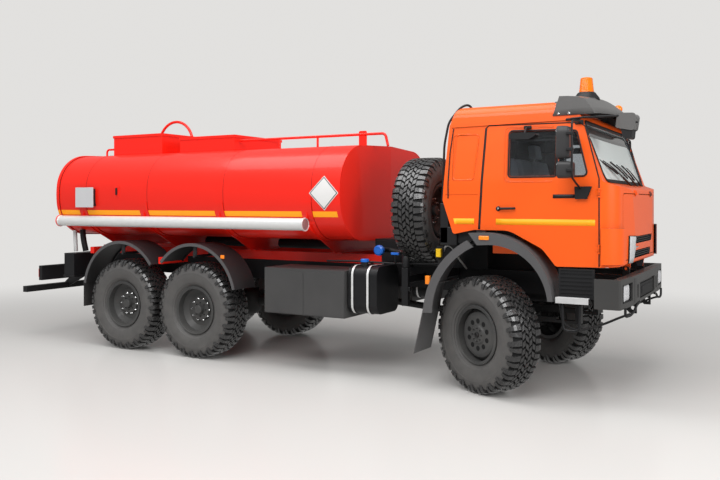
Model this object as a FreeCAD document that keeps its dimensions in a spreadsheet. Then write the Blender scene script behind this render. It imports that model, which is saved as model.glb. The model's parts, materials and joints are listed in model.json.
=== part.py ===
import FreeCAD, Part
import math
import os
import re
from FreeCAD import Placement, Rotation, Vector
from Sketcher import Constraint

# A three-axle off-road tanker lorry, in millimetres.  +X is forward, +Y is the driver's left and
# +Z is up.  The origin lies on the ground, under the middle of the overall box.
# Names that end in _at are places along the lorry, counted from the front axle (ahead is plus).

# A size given as text is worked out from the sizes named in it.

SIZES = {
    # whole vehicle
    "overall_length": 9030, "front_overhang": 1460, "wheelbase": 4100, "bogie_spacing": 1320,
    "body_half": 1250, "half_track": "body_half - tyre_half - 12.5", "gap": 5, "seat": 0.3,
    # wheels
    "tyre_radius": 630, "tyre_half": 212.5, "tread_half": 165, "bead_half": 150, "bead_radius": 300,
    "rim_flange": "bead_radius + 21", "rim_wall": 16, "hub_radius": 118, "hole_ring": 147,
         "hole_radius": 23,
    "front_disc": 118, "rear_disc": 10, "cap_radius": 66, "spindle_radius": 55,
    # steering
    "kingpin_half": "half_track - 205", "kingpin_radius": 24, "steer_rest": 27, "ball_radius": 110,
    "arm_length": 170, "pin_radius": 14, "pin_play": 0.06, "open_pin_play": 1, "rod_radius": 13,
    # frame
    "rail_outer": 435, "rail_flange": 80, "rail_web": 10, "rail_low": "tyre_radius + 390",
    "rail_top": "rail_low + 260", "frame_rear_at": "-wheelbase - bogie_spacing - 1630",
    "frame_front_at": 1230, "member_radius": 50, "sub_top": "rail_top + 120", "sub_front_at": -1700,
    "axle_tube": 75, "front_banjo": 170, "rear_banjo": 200, "nose_reach": 90, "shaft_radius": 42,
    "spring_inner": "rail_outer - 75", "spring_outer": "rail_outer + 15", "leaf": 28,
    "spring_low": "tyre_radius + 92", "front_spring": 720, "rear_spring": 660,
    "towing_radius": 22, "drawbar_radius": 26, "eye_width": 30,
    # cab
    "cab_half": "body_half - 100", "cab_wall": 42, "glass_in": 14, "glass_thick": 6,
    "cab_low": "rail_top + 120", "cab_floor": "cab_low + 360", "cab_belt": "cab_low + 880",
    "cab_roof": "cab_low + 1700", "cab_rear_at": -555, "cab_front_at": 1362,
    "cab_hinge_at": 1250, "cab_hinge_height": "rail_top + 70", "ear": 30,
    "door_rear_at": -155, "door_front_at": 1130, "door_lean": 92,
    "screen_low": "cab_belt + 10", "screen_top": "cab_belt + 578", "panel_low": "cab_low + 70",
    "panel_top": "cab_low + 740", "panel_gap": 8, "bulkhead_at": 1184,
    "hinge_pin": 5, "hinge_wall": 4, "hinge_eye": 50,
    # tank
    "tank_half": "body_half - 30", "tank_low": "sub_top + 160", "tank_top": "tank_low + 1230",
    "tank_corner": 520, "tank_rear_at": "frame_rear_at + 270", "tank_front_at": -1840, "tank_crease": 45,
    "lid_depth": 38, "rail_rise": 130, "handrail_side": 450,
    "tube_half": "tank_half - 17", "tube_height": "tank_low + 230", "tube_radius": 76,
    "tube_rear_at": "tank_rear_at + 75", "tube_front_at": -2336,
    "saddle_width": 150, "saddle_top": "tank_low + 500", "saddle_plate": 12,
    # bumper and steps
    "bumper_inner": 1290, "bumper_low": "rail_low - 17", "bumper_top": "rail_top + 20", "towing_at": 1322,
    # mudguards
    "spare_at": -1000, "arch_half_width": 430, "arch_radius": 740, "arch_rise": 150, "guard_sheet": 9,
}

doc = FreeCAD.newDocument("tanker_truck")
sheet = doc.addObject("Spreadsheet::Sheet", "sizes")
for row, (alias, number) in enumerate(SIZES.items(), 1):
    sheet.set("A%d" % row, alias)
    sheet.set("B%d" % row, "=" + number if isinstance(number, str) else str(number))
    sheet.setAlias("B%d" % row, alias)
doc.recompute()

WORD = re.compile(r"[a-z][a-z_]*[a-z]")
TURNED = {"x": Rotation(Vector(0, 1, 0), 90), "y": Rotation(Vector(1, 0, 0), -90), "z": Rotation()}
PLANES = {"xy": ("z", Rotation(), Vector(0, 0, 1)),
          "xz": ("y", Rotation(Vector(1, 0, 0), 90), Vector(0, 1, 0)),
          "yz": ("x", Rotation(Vector(1, 1, 1), 120), Vector(1, 0, 0))}
AXLE = "(overall_length/2 - front_overhang)"
MIDDLE = "(%s - wheelbase)" % AXLE
REAR = "(%s - bogie_spacing)" % MIDDLE
nodes = {}


def formula(text):
    """The expression with each size's name pointed at its cell."""
    return WORD.sub(lambda m: "sizes." + m.group() if m.group() in SIZES else m.group(), str(text))


def value(text):
    """The number that an expression gives now."""
    result = sheet.evalExpression(formula(text))
    return float(getattr(result, "Value", result))


def numbers(*texts):
    return [value(t) for t in texts]


def at(text):
    """A place counted from the front axle, as an expression in the lorry's own frame."""
    return "(%s + %s)" % (AXLE, text)


def bind(thing, prop, text):
    thing.setExpression(prop, formula(text))


def block(xs, ys, zs):
    """A box given by its low and high place along each axis."""
    box = doc.addObject("Part::Box", "block")
    for prop, axis, (low, high) in zip(("Length", "Width", "Height"), "xyz", (xs, ys, zs)):
        bind(box, prop, "(%s) - (%s)" % (high, low))
        bind(box, "Placement.Base." + axis, low)
    return box


def rod(axis, start, radius, length):
    """A round bar from a start point along +axis."""
    bar = doc.addObject("Part::Cylinder", "rod")
    bar.Placement = Placement(Vector(), TURNED[axis])
    for name, text in zip("xyz", start):
        bind(bar, "Placement.Base." + name, text)
    bind(bar, "Radius", radius)
    bind(bar, "Height", length)
    return bar


def draw(sketch, corners):
    """A closed run of lines and arcs, each corner tied to the sheet.

    A corner is (u, v), or (u, v, radius) where the run to the next corner is an arc of that
    radius; a plus radius turns the arc anticlockwise and a minus one clockwise.
    """
    points = [Vector(value(c[0]), value(c[1]), 0) for c in corners]
    ends = []
    for i, corner in enumerate(corners):
        a, b = points[i], points[(i + 1) % len(points)]
        if len(corner) == 2:
            sketch.addGeometry(Part.LineSegment(a, b))
            ends.append((1, 2))
            continue
        radius = value(corner[2])
        half = (b - a) * 0.5
        side = Vector(half.y, -half.x, 0).normalize() * math.copysign(1, radius)
        rise = abs(radius) - math.sqrt(radius ** 2 - half.Length ** 2)
        curve = Part.Arc(a, a + half + side * rise, b)
        sketch.addGeometry(curve)
        ends.append((1, 2) if radius > 0 else (2, 1))
    count = len(corners)
    for i, corner in enumerate(corners):
        sketch.addConstraint(Constraint("Coincident", i, ends[i][1], (i + 1) % count,
                                        ends[(i + 1) % count][0]))
    for i, corner in enumerate(corners):
        for kind, text, number in (("DistanceX", corner[0], points[i].x),
                                   ("DistanceY", corner[1], points[i].y)):
            index = sketch.addConstraint(Constraint(kind, i, ends[i][0], number))
            bind(sketch, "Constraints[%d]" % index, text)
        if len(corner) == 3:
            index = sketch.addConstraint(Constraint("Radius", i, abs(value(corner[2]))))
            bind(sketch, "Constraints[%d]" % index, "abs(%s)" % corner[2])


def slab(plane, corners, low, high):
    """An outline drawn on a plane and pushed from one place to another along its normal."""
    axis, turn, way = PLANES[plane]
    sketch = doc.addObject("Sketcher::SketchObject", "outline")
    sketch.Placement = Placement(Vector(), turn)
    draw(sketch, corners)
    bind(sketch, "Placement.Base." + axis, low)
    push = doc.addObject("Part::Extrusion", "slab")
    push.Base = sketch
    push.DirMode = "Custom"
    push.Dir = way
    push.Solid = True
    bind(push, "LengthFwd", "(%s) - (%s)" % (high, low))
    return push


def fuse(*parts):
    union = doc.addObject("Part::MultiFuse", "joined")
    union.Shapes = list(parts)
    return union


def cut(base, *tools):
    result = doc.addObject("Part::Cut", "trimmed")
    result.Base = base
    result.Tool = tools[0] if len(tools) == 1 else fuse(*tools)
    return result


def common(*parts):
    result = doc.addObject("Part::MultiCommon", "shared")
    result.Shapes = list(parts)
    return result


def mirror(part):
    """The same piece on the other side of the lorry's middle plane."""
    other = doc.addObject("Part::Mirroring", "other_side")
    other.Source = part
    other.Normal = Vector(0, 1, 0)
    return other


def feature(shape):
    """A piece whose form comes from Part's own functions."""
    thing = doc.addObject("Part::Feature", "form")
    thing.Shape = shape
    return thing


def node(label, *parts):
    """One sub-part: its solids together, under the name of its file."""
    whole = parts[0]
    if len(parts) > 1:
        whole = doc.addObject("Part::Compound", label)
        whole.Links = list(parts)
    whole.Label = label
    nodes[label] = whole
    return whole


def both(part):
    return part, mirror(part)


# ---------------------------------------------------------------- wheels

def revolved(label, corners):
    """A PartDesign body turned about its own Y axis from a half section drawn in Y and Z."""
    body = doc.addObject("PartDesign::Body", label)
    plane = next(f for f in body.Origin.OriginFeatures if f.Role == "YZ_Plane")
    sketch = body.newObject("Sketcher::SketchObject", label + "_section")
    sketch.AttachmentSupport = (plane, [""])
    sketch.MapMode = "FlatFace"
    draw(sketch, corners)
    turn = body.newObject("PartDesign::Revolution", label + "_turned")
    turn.Profile = sketch
    turn.ReferenceAxis = (sketch, ["H_Axis"])
    turn.Angle = 360
    return body


def drilled(body, label, offset, ring, radius, count, depth):
    """A ring of round holes through a turned body, along its Y axis."""
    plane = next(f for f in body.Origin.OriginFeatures if f.Role == "XZ_Plane")
    sketch = body.newObject("Sketcher::SketchObject", label + "_hole_place")
    sketch.AttachmentSupport = (plane, [""])
    sketch.MapMode = "FlatFace"
    bind(sketch, "AttachmentOffset.Base.z", offset)
    sketch.addGeometry(Part.Circle(Vector(0, value(ring), 0), Vector(0, 0, 1), value(radius)))
    sketch.addConstraint(Constraint("PointOnObject", 0, 3, -2))
    index = sketch.addConstraint(Constraint("DistanceY", 0, 3, value(ring)))
    bind(sketch, "Constraints[%d]" % index, ring)
    index = sketch.addConstraint(Constraint("Radius", 0, value(radius)))
    bind(sketch, "Constraints[%d]" % index, radius)
    hole = body.newObject("PartDesign::Pocket", label + "_hole")
    hole.Profile = sketch
    hole.Midplane = True
    bind(hole, "Length", depth)
    doc.recompute()
    ring_of = body.newObject("PartDesign::PolarPattern", label + "_holes")
    ring_of.Originals = [hole]
    axis = next(f for f in body.Origin.OriginFeatures if f.Role == "Y_Axis")
    ring_of.Axis = (axis, [""])
    ring_of.Angle = 360
    ring_of.Occurrences = count
    body.Tip = ring_of


def tyre_section(shift):
    """Half section of a tyre: beads, bulged side walls, shoulders and a nearly flat crown."""
    def y(text):
        return "(%s) + (%s)" % (text, shift)
    return [(y("-bead_half"), "bead_radius"), (y("bead_half"), "bead_radius"),
            (y("bead_half"), "rim_flange + 6"),
            (y("bead_half + 14"), "rim_flange + 22", "0.42*tyre_radius"),
            (y("tread_half + 28"), "tyre_radius - 42"), (y("tread_half"), "tyre_radius - 8"),
            (y("0.6*tread_half"), "tyre_radius"), (y("-0.6*tread_half"), "tyre_radius"),
            (y("-tread_half"), "tyre_radius - 8"),
            (y("-tread_half - 28"), "tyre_radius - 42", "0.42*tyre_radius"),
            (y("-bead_half - 14"), "rim_flange + 22"), (y("-bead_half"), "rim_flange + 6")]


def rim_section(side, shift, disc, dished):
    """Half section of a rim with its disc and hub; side is +1 when outboard is +Y."""
    barrel = "(bead_radius - seat)"
    inner = "(bead_radius - rim_wall)"
    profile = [("bead_half + 2", barrel), ("bead_half + 2", "rim_flange"), ("bead_half + 16", "rim_flange"),
               ("bead_half + 16", inner)]
    if dished:
        profile += [("%s + 62" % disc, inner), ("%s + 18" % disc, "0.72*bead_radius"),
                    ("%s + 18" % disc, "hub_radius + 34"), ("%s + 44" % disc, "hub_radius + 22"),
                    ("%s + 44" % disc, "cap_radius"), ("%s + 92" % disc, "cap_radius - 8"),
                    ("%s + 98" % disc, "cap_radius - 18"), ("%s + 98" % disc, "0")]
    else:
        profile += [("%s - 52" % disc, inner), ("%s + 4" % disc, "0.80*bead_radius"),
                    ("%s + 14" % disc, "0.68*bead_radius"), ("%s + 14" % disc, "0.36*bead_radius"),
                    ("%s + 26" % disc, "0.30*bead_radius"), ("%s + 26" % disc, "0")]
    back = [("%s - 20" % disc, "0"), ("%s - 20" % disc, "spindle_radius + pin_play"),
            ("-54", "spindle_radius + pin_play"), ("-54", "hub_radius")]
    if dished:
        back += [("%s" % disc, "hub_radius"), ("%s" % disc, "0.72*bead_radius"),
                 ("%s + 36" % disc, inner)]
    else:
        back += [("%s - 12" % disc, "hub_radius"), ("%s - 12" % disc, "0.78*bead_radius"),
                 ("%s - 78" % disc, inner)]
    back += [("-bead_half - 16", inner), ("-bead_half - 16", "rim_flange"),
             ("-bead_half - 2", "rim_flange"), ("-bead_half - 2", barrel)]
    run = [("%d*(%s) + (%s)" % (side, u, shift), v) for u, v in profile + back]
    return run


def wheel(name, side, place, turn, steered):
    """One wheel: its tyre, and its rim with disc and hub, on a shared centre."""
    shift = "%d*(half_track - kingpin_half)" % side if steered else "0"
    tyre = revolved(name + "_tyre", tyre_section(shift))
    disc = "front_disc" if steered else "rear_disc"
    rim = revolved(name + "_rim", rim_section(side, shift, disc, not steered))
    if steered:
        drilled(rim, name + "_rim", "-(%d*front_disc + %s)" % (side, shift), "hole_ring",
                "hole_radius", 10, "90")
    for body in (tyre, rim):
        body.Placement = Placement(Vector(), Rotation(Vector(0, 0, 1), turn))
        for axis, text in zip("xyz", place):
            bind(body, "Placement.Base." + axis, text)
        nodes[body.Label] = body
    return rim


rest_turn = -value("steer_rest")
for word, side in (("right", -1), ("left", 1)):
    wheel("front_" + word, side, (AXLE, "%d*kingpin_half" % side, "tyre_radius"), rest_turn, True)
    wheel("middle_" + word, side, (MIDDLE, "%d*half_track" % side, "tyre_radius"), 0, False)
    wheel("rear_" + word, side, (REAR, "%d*half_track" % side, "tyre_radius"), 0, False)


# ---------------------------------------------------------------- axles and steering

def ball(centre, radius):
    sphere = doc.addObject("Part::Sphere", "ball")
    for axis, text in zip("xyz", centre):
        bind(sphere, "Placement.Base." + axis, text)
    bind(sphere, "Radius", radius)
    return sphere


def knuckle(word, side):
    """The steered end: a cup round the axle's ball, fork arms on the kingpin, a spindle and an arm."""
    cup = cut(ball(("0", "0", "0"), "ball_radius + 30"), ball(("0", "0", "0"), "ball_radius + gap"),
              block(("-200", "200"), ("-200", "42") if side > 0 else ("-42", "200"), ("-200", "200")))
    plate_top = block(("-46", "46"), (("-46", "90") if side > 0 else ("-90", "46")),
                      ("ball_radius + 8", "ball_radius + 34"))
    plate_low = block(("-46", "46"), (("-46", "90") if side > 0 else ("-90", "46")),
                      ("-ball_radius - 34", "-ball_radius - 8"))
    spindle = rod("y", ("0", "ball_radius + 12" if side > 0 else "-ball_radius - 12 - 120", "0"),
                  "spindle_radius", "120")
    arm = block(("-arm_length - 26", "0"), ("-26", "26"), ("-ball_radius - 34", "-ball_radius - 8"))
    pin = rod("z", ("-arm_length", "0", "-ball_radius - 80"), "pin_radius", "50")
    bore = rod("z", ("0", "0", "-ball_radius - 50"), "kingpin_radius + pin_play", "2*ball_radius + 100")
    whole = cut(fuse(cup, plate_top, plate_low, spindle, arm, pin), bore)
    whole.Placement = Placement(Vector(), Rotation(Vector(0, 0, 1), rest_turn))
    for axis, text in zip("xyz", (AXLE, "%d*kingpin_half" % side, "tyre_radius")):
        bind(whole, "Placement.Base." + axis, text)
    node("knuckle_" + word, whole)


knuckle("right", -1)
knuckle("left", 1)


def tie_rod():
    """The bar between the two steering arms, behind the front axle, with an eye at each end."""
    low, high = "-ball_radius - 73", "-ball_radius - 43"
    middle = "-ball_radius - 58"
    x = "%s - arm_length*cos(steer_rest)" % AXLE
    shift = "arm_length*sin(steer_rest)"
    z0 = "tyre_radius"
    eyes = []
    bores = []
    for side, play in ((-1, "pin_play"), (1, "open_pin_play")):
        y = "%d*kingpin_half + %s" % (side, shift)
        eyes.append(rod("z", (x, y, "%s + (%s)" % (z0, low)), "2*pin_radius", "30"))
        bores.append(rod("z", (x, y, "%s + (%s) - 1" % (z0, low)), "pin_radius + %s" % play, "32"))
    bar = rod("y", (x, "-kingpin_half + %s" % shift, "%s + (%s)" % (z0, middle)),
              "rod_radius", "2*kingpin_half")
    node("tie_rod", cut(cut(fuse(bar, *eyes), bores[0]), bores[1]))


tie_rod()


def axle_beam(label, place, banjo, half, ends):
    """A live axle: tube, differential housing with its pinion nose, and spring pads."""
    tube = rod("y", (place, "-(%s)" % half, "tyre_radius"), "axle_tube", "2*(%s)" % half)
    pot = ball((place, "0", "tyre_radius"), banjo)
    nose = rod("x", ("%s - %s - 90" % (place, banjo) if label == "front_axle" else place,
                          "0", "tyre_radius + 20"), "72", "%s + 90" % banjo)
    pads = [block(("%s - 75" % place, "%s + 75" % place), (low, high),
                  ("tyre_radius - 70", "tyre_radius + 92"))
            for low,
            high in (("-rail_outer - 15", "-rail_outer + 75"), ("rail_outer - 75", "rail_outer + 15"))]
    node(label, fuse(tube, pot, nose, *pads, *ends))


axle_beam("front_axle", AXLE, "front_banjo", "kingpin_half",
          [ball((AXLE, "%d*kingpin_half" % s, "tyre_radius"), "ball_radius") for s in (-1, 1)] +
          [rod("z", (AXLE, "%d*kingpin_half" % s, "tyre_radius - ball_radius - 38"), "kingpin_radius",
               "2*ball_radius + 76") for s in (-1, 1)])
for label, place in (("middle_axle", MIDDLE), ("rear_axle", REAR)):
    stub = [rod("y", (place, y, "tyre_radius"), "spindle_radius", "112")
            for y in ("-half_track + 18", "half_track - 130")]
    drum = [rod("y", (place, y, "tyre_radius"), "205", "60")
            for y in ("-half_track + 95", "half_track - 155")]
    axle_beam(label, place, "rear_banjo", "half_track - 100", stub + drum)


def leaf_springs():
    """Front leaf packs over the axle and the balanced rear packs on their trunnion."""
    packs = []
    for low, high in (("-rail_outer - 15", "-rail_outer + 75"), ("rail_outer - 75", "rail_outer + 15")):
        for i in range(3):
            half = "%d" % (720 - 210 * i)
            z = "tyre_radius + 92 + %d" % (28 * i)
            packs.append(block(("%s - %s" % (AXLE, half), "%s + %s" % (AXLE, half)), (low, high),
                               (z, "%s + 28" % z)))
            half = "%d" % (660 - 190 * i)
            z = "tyre_radius + 92 + %d" % (28 * i)
            middle = "(%s + bogie_spacing/2)" % REAR
            packs.append(block(("%s - %s" % (middle, half), "%s + %s" % (middle, half)), (low, high),
                               (z, "%s + 28" % z)))
    return packs


# ---------------------------------------------------------------- frame

def rail():
    """One channel rail of the frame, open towards the middle, right side."""
    web = "-rail_outer"
    section = [(web, "rail_low"), ("%s + rail_flange" % web, "rail_low"),
               ("%s + rail_flange" % web, "rail_low + rail_web"),
               ("%s + rail_web" % web, "rail_low + rail_web"),
               ("%s + rail_web" % web, "rail_top - rail_web"),
               ("%s + rail_flange" % web, "rail_top - rail_web"), ("%s + rail_flange" % web, "rail_top"),
               (web, "rail_top")]
    return slab("yz", section, at("frame_rear_at"), at("frame_front_at"))


def chassis_frame():
    rails = both(rail())
    members = [rod("y", (at(x), "-rail_outer + rail_web + seat", "(rail_low + rail_top)/2"),
                   "member_radius",
                   "2*(rail_outer - rail_web - seat)")
               for x in ("-6300", "-3300", "-2550", "1100")]
    end = block((at("frame_rear_at - 12 - seat"), at("frame_rear_at - seat")),
                ("-rail_outer", "rail_outer"),
                ("rail_low", "rail_top"))
    trunnion = block(("%s + bogie_spacing/2 - 90" % REAR, "%s + bogie_spacing/2 + 90" % REAR),
                     ("-rail_outer - 15", "rail_outer + 15"), ("tyre_radius + 176", "rail_low - seat"))
    hangers = [block((at(x), at(x + " + 60")), (low, high), ("tyre_radius + 92", "rail_low + 40"))
               for x in ("-780", "720")
               for low,
               high in (("-rail_outer - 15", "-rail_outer + 75"), ("rail_outer - 75", "rail_outer + 15"))]
    hinges = [cut(slab("xz",
                       [(at("cab_hinge_at - 60"), "rail_low + 120"),
                        (at("cab_hinge_at + 38"), "rail_low + 120"),
                              (at("cab_hinge_at + 38"), "cab_hinge_height"),
                              (at("cab_hinge_at + 28"), "cab_hinge_height + 22"),
                              (at("cab_hinge_at - 28"), "cab_hinge_height + 22")],
                       low, high),
                  rod("y", (at("cab_hinge_at"), "%s - 5" % low, "cab_hinge_height"),
                      "pin_radius + pin_play", "40"))
              for low,
              high in (("-rail_outer + 4", "-rail_outer + 34"), ("rail_outer - 34", "rail_outer - 4"))]
    hook = rod("y", (at("frame_rear_at - 70"), "-eye_width/2", "rail_low + 150"), "62", "eye_width")
    eye = rod("y", (at("frame_rear_at - 70"), "-eye_width/2 - 1", "rail_low + 150"), "drawbar_radius",
              "eye_width + 2")
    shank = block((at("frame_rear_at - 30"), at("frame_rear_at - 1")), ("-60", "60"),
                  ("rail_low + 90", "rail_low + 210"))
    drawbar = cut(fuse(hook, shank), eye)
    face = at("bumper_inner - seat")
    tow = [cut(slab("xz",
                    [(at("1215"), "rail_low + 40"), (at("1215"), "bumper_low - 43"),
                     (face, "bumper_low - 123"),
                           (at("1360"), "bumper_low - 123"), (at("1360"), "bumper_low - 8"),
                           (face, "bumper_low - 8"), (face, "rail_low + 40")], low, high),
               rod("y", (at("towing_at"), "%s - 1" % low, "bumper_low - 67"), "towing_radius",
                   "eye_width + 2"))
           for low, high in (("-rail_outer", "-rail_outer + eye_width"),
                             ("rail_outer - eye_width", "rail_outer"))]
    sides = [fuse(rails[i], hangers[i], hangers[i + 2], hinges[i], tow[i]) for i in (0, 1)]
    node("chassis_frame", *sides, *members, fuse(end, drawbar), trunnion)
    node("leaf_springs", fuse(*leaf_springs()))


chassis_frame()


def shaft(start, end):
    """A propeller shaft with a flange at each end."""
    way = Vector(*end) - Vector(*start)
    tube = Part.makeCylinder(42, way.Length - 24, Vector(*start) - Vector(12, 0, 0), way)
    return feature(tube.fuse([Part.makeCylinder(62, 18, Vector(start[0] - 18, start[1], start[2]),
                                                Vector(1, 0, 0)),
                              Part.makeCylinder(62, 18, Vector(*end), Vector(1, 0, 0))]))


def engine():
    """Engine and gearbox as one plain block between the rails, under the cab."""
    node("engine_block", fuse(
        slab("xz", [(at("-620"), "930"), (at("560"), "930"), (at("560"), "1330"), (at("420"), "1600"),
                    (at("-560"), "1600"), (at("-620"), "1480")], "-330", "330"),
        slab("xz",
             [(at("-1180"), "1010"), (at("-600"), "950"), (at("-600"), "1340"), (at("-1180"), "1240")],
             "-210", "210"),
        block((at("-260"), at("-160")), ("-rail_outer + rail_web + seat", "rail_outer - rail_web - seat"),
              ("1100", "1160"))))
    box = fuse(block((at("-2350"), at("-2050")), ("-230", "230"), ("720", "1090")),
               block((at("-2250"), at("-2150")),
                     ("-rail_outer + rail_web + seat", "rail_outer - rail_web - seat"),
                     ("1080", "1130")))
    x, nose = numbers(AXLE, "tyre_radius + 20")
    front, middle = numbers("%s - front_banjo - 90" % AXLE, "%s + rear_banjo + 90" % MIDDLE)
    seat = value("seat")
    shafts = [shaft((front - seat, 0, nose), (x - 2060, 0, 800)),
              shaft((x - 2340, 0, 800), (middle + seat, 0, nose)),
              shaft((x - 1180 - seat, 0, 1050), (x - 2060, 0, 1050))]
    between = rod("x", ("%s + rear_banjo + 90 + seat" % REAR, "0", "tyre_radius + 20"), "42",
                  "bogie_spacing - 2*rear_banjo - 90 - 2*seat")
    node("drive_line", fuse(box, *shafts), between)


engine()


def knuckles(centre, axis, fixed, moving):
    """A small hinge: a pin between two fixed lugs, and the eye that turns on it.

    fixed and moving are the ways, with their reach, from the pin to what carries each half.
    """
    pin, wall, eye, play, gap = numbers("hinge_pin", "hinge_wall", "hinge_eye", "pin_play", "gap")
    lug = eye / 3
    centre, axis = Vector(*centre), Vector(*axis)

    def barrel(start, length, reach):
        way = Vector(*reach)
        round_end = Part.makeCylinder(pin + wall, length, centre + axis * start, axis)
        leaf = Part.makeBox(way.Length, 2 * wall, length, Vector(0, -wall, 0))
        across_way = axis.cross(way).normalize()
        turn = Rotation(way.normalize(), across_way, axis, "XYZ")
        leaf.Placement = Placement(centre + axis * start - turn.multVec(Vector(0, 0, 0)), turn)
        return round_end.fuse(leaf)

    bore = Part.makeCylinder(pin + play, 2 * eye, centre - axis * eye, axis)
    turning = barrel(-eye / 2, eye, moving).cut(bore)
    ends = [barrel(side, lug, fixed) for side in (-eye / 2 - gap - lug, eye / 2 + gap)]
    bolt = Part.makeCylinder(pin, eye + 2 * gap + 2 * lug, centre - axis * (eye / 2 + gap + lug), axis)
    return ends[0].fuse([ends[1], bolt]), turning


# ---------------------------------------------------------------- tank

def rounded(plane, corners):
    """A closed wire whose corners, given as (u, v, radius), are rounded by tangent arcs."""
    points = [Vector(u, v, 0) for u, v, r in corners]
    edges, last, first = [], None, None
    count = len(corners)
    for i in range(count):
        before, here, after = points[i - 1], points[i], points[(i + 1) % count]
        radius = corners[i][2]
        back, ahead = (before - here).normalize(), (after - here).normalize()
        if radius <= 0:
            start = end = here
            middle = None
        else:
            half = back.getAngle(ahead) / 2
            reach = radius / math.tan(half)
            start, end = here + back * reach, here + ahead * reach
            bisector = (back + ahead).normalize()
            middle = here + bisector * (radius / math.sin(half) - radius)
        if last is None:
            first = start
        elif (start - last).Length > 1e-6:
            edges.append(Part.makeLine(last, start))
        if middle is not None:
            edges.append(Part.Arc(start, middle, end).toShape())
        last = end
    if (first - last).Length > 1e-6:
        edges.append(Part.makeLine(last, first))
    wire = Part.Wire(edges)
    wire.Placement = Placement(Vector(), PLANES[plane][1])
    return wire


def pushed(plane, wire, low, high):
    """The solid that a closed wire sweeps from one place to another along its plane's normal."""
    way = PLANES[plane][2]
    face = Part.Face(wire)
    face.translate(way * low)
    return face.extrude(way * (high - low))


def tank_outline(grow=0.0):
    """The tank's section: nearly flat top, bottom and sides, and large round corners."""
    half, low, top, corner = numbers("tank_half", "tank_low", "tank_top", "tank_corner")
    crown = 45
    middle = (low + top) / 2
    half, low, top, corner = half + grow, low - grow, top + grow, corner + grow
    wide = [(-half, middle, 2 * corner), (-half + crown, low + crown, corner), (0, low, 4 * corner),
            (half - crown, low + crown, corner), (half, middle, 2 * corner),
            (half - crown, top - crown, corner), (0, top, 4 * corner), (-half + crown, top - crown, corner)]
    return rounded("yz", wide)


def tank():
    """Welded tank with a flat flanged rear end, a creased front end and two hatch boxes."""
    rear, front, crease = numbers(at("tank_rear_at"), at("tank_front_at"), "tank_crease")
    shell = pushed("yz", tank_outline(), rear, front + crease)
    far = 2 * value("tank_half")
    nose = rounded("xy", [(rear - 10, -far, 0), (front - crease, -far, 0), (front + crease, 0, 0),
                          (front - crease, far, 0), (rear - 10, far, 0)])
    shell = shell.common(pushed("xy", nose, 0, 4000))
    ring = pushed("yz", tank_outline(16), rear + 12, rear + 60)
    hatches = []
    top = value("tank_top")
    boxes = ((-6300, -5300, top + 250), (-4950, -3950, top + 170))
    x = value(AXLE)
    for back, ahead, lid in boxes:
        outer = Part.makeBox(ahead - back, 1100, lid - top + 60, Vector(x + back, -550, top - 60))
        inner = Part.makeBox(ahead - back - 24, 1076, lid - top - 20, Vector(x + back + 12, -538, top + 20))
        hatches.append(outer.cut(inner))
    whole = shell.fuse([ring] + hatches)
    pieces = []
    for label, (back, ahead, lid) in zip(("hatch_lid_rear", "hatch_lid_front"), boxes):
        z, rise = lid + value("seat"), value("lid_depth")
        plate = Part.makeBox(ahead - back + 20, 1124, rise, Vector(x + back - 10, -562, z))
        plate = plate.cut(Part.makeBox(ahead - back - 20, 1084, rise - 14, Vector(x + back + 10, -542, z)))
        for y in (-380, 380):
            fixed, moving = knuckles((x + back - 22, y, lid + 5), (0, 1, 0), (26, 0, -30), (16, 0, 14))
            pieces.append(fixed)
            plate = plate.fuse(moving)
        node(label, feature(plate))
    node("tank", feature(whole.fuse(pieces)))


tank()


def tank_cradle():
    """Two long bearers on the frame rails and four saddles that carry the tank."""
    bearers = both(block((at("-6650"), at("sub_front_at")), ("-rail_outer", "-rail_outer + 80"),
                         ("rail_top + seat", "sub_top")))
    lie = pushed("yz", tank_outline(value("seat")), value(at("tank_rear_at")) - 50,
                 value(at("tank_front_at")) + 50)
    width, top, plate = numbers("saddle_width", "saddle_top", "saddle_plate")
    sub = value("sub_top")
    half = value("tank_half")
    side, height, radius = numbers("tube_half", "tube_height", "tube_radius + seat")
    rests = [Part.makeCylinder(radius, 9000, Vector(-5000, y, height), Vector(1, 0, 0))
             for y in (-side, side)]
    parts = []
    for place in (-6230, -5020, -3680, -2320):
        x = value(AXLE) + place
        band = pushed("yz", tank_outline(plate), x - width / 2, x + width / 2)
        keep = Part.makeBox(2000, 4000, top, Vector(x - 1000, -2000, 0))
        web = pushed("yz", rounded("yz", [(-half + 20, 1960, 0), (-half + 20, 1760, 0), (-520, sub, 0),
                                          (520, sub, 0), (half - 20, 1760, 0), (half - 20, 1960, 0)]),
                     x - 8, x + 8)
        foot = Part.makeBox(width, 1040, 14, Vector(x - width / 2, -520, sub))
        parts.append(band.common(keep).fuse([web, foot]).cut([lie] + rests))
    saddles = parts[0].fuse(parts[1:])
    node("tank_cradle", fuse(feature(saddles), *bearers))


tank_cradle()


def hose_tubes():
    """A closed tube for hoses along each side of the tank, laid in the saddles."""
    tubes = []
    for side in (-1, 1):
        y = "%d*tube_half" % side
        tubes.append(rod("x", (at("tube_rear_at"), y, "tube_height"), "tube_radius",
                         "tube_front_at - tube_rear_at"))
    node("hose_tubes", *tubes)


hose_tubes()


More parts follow.
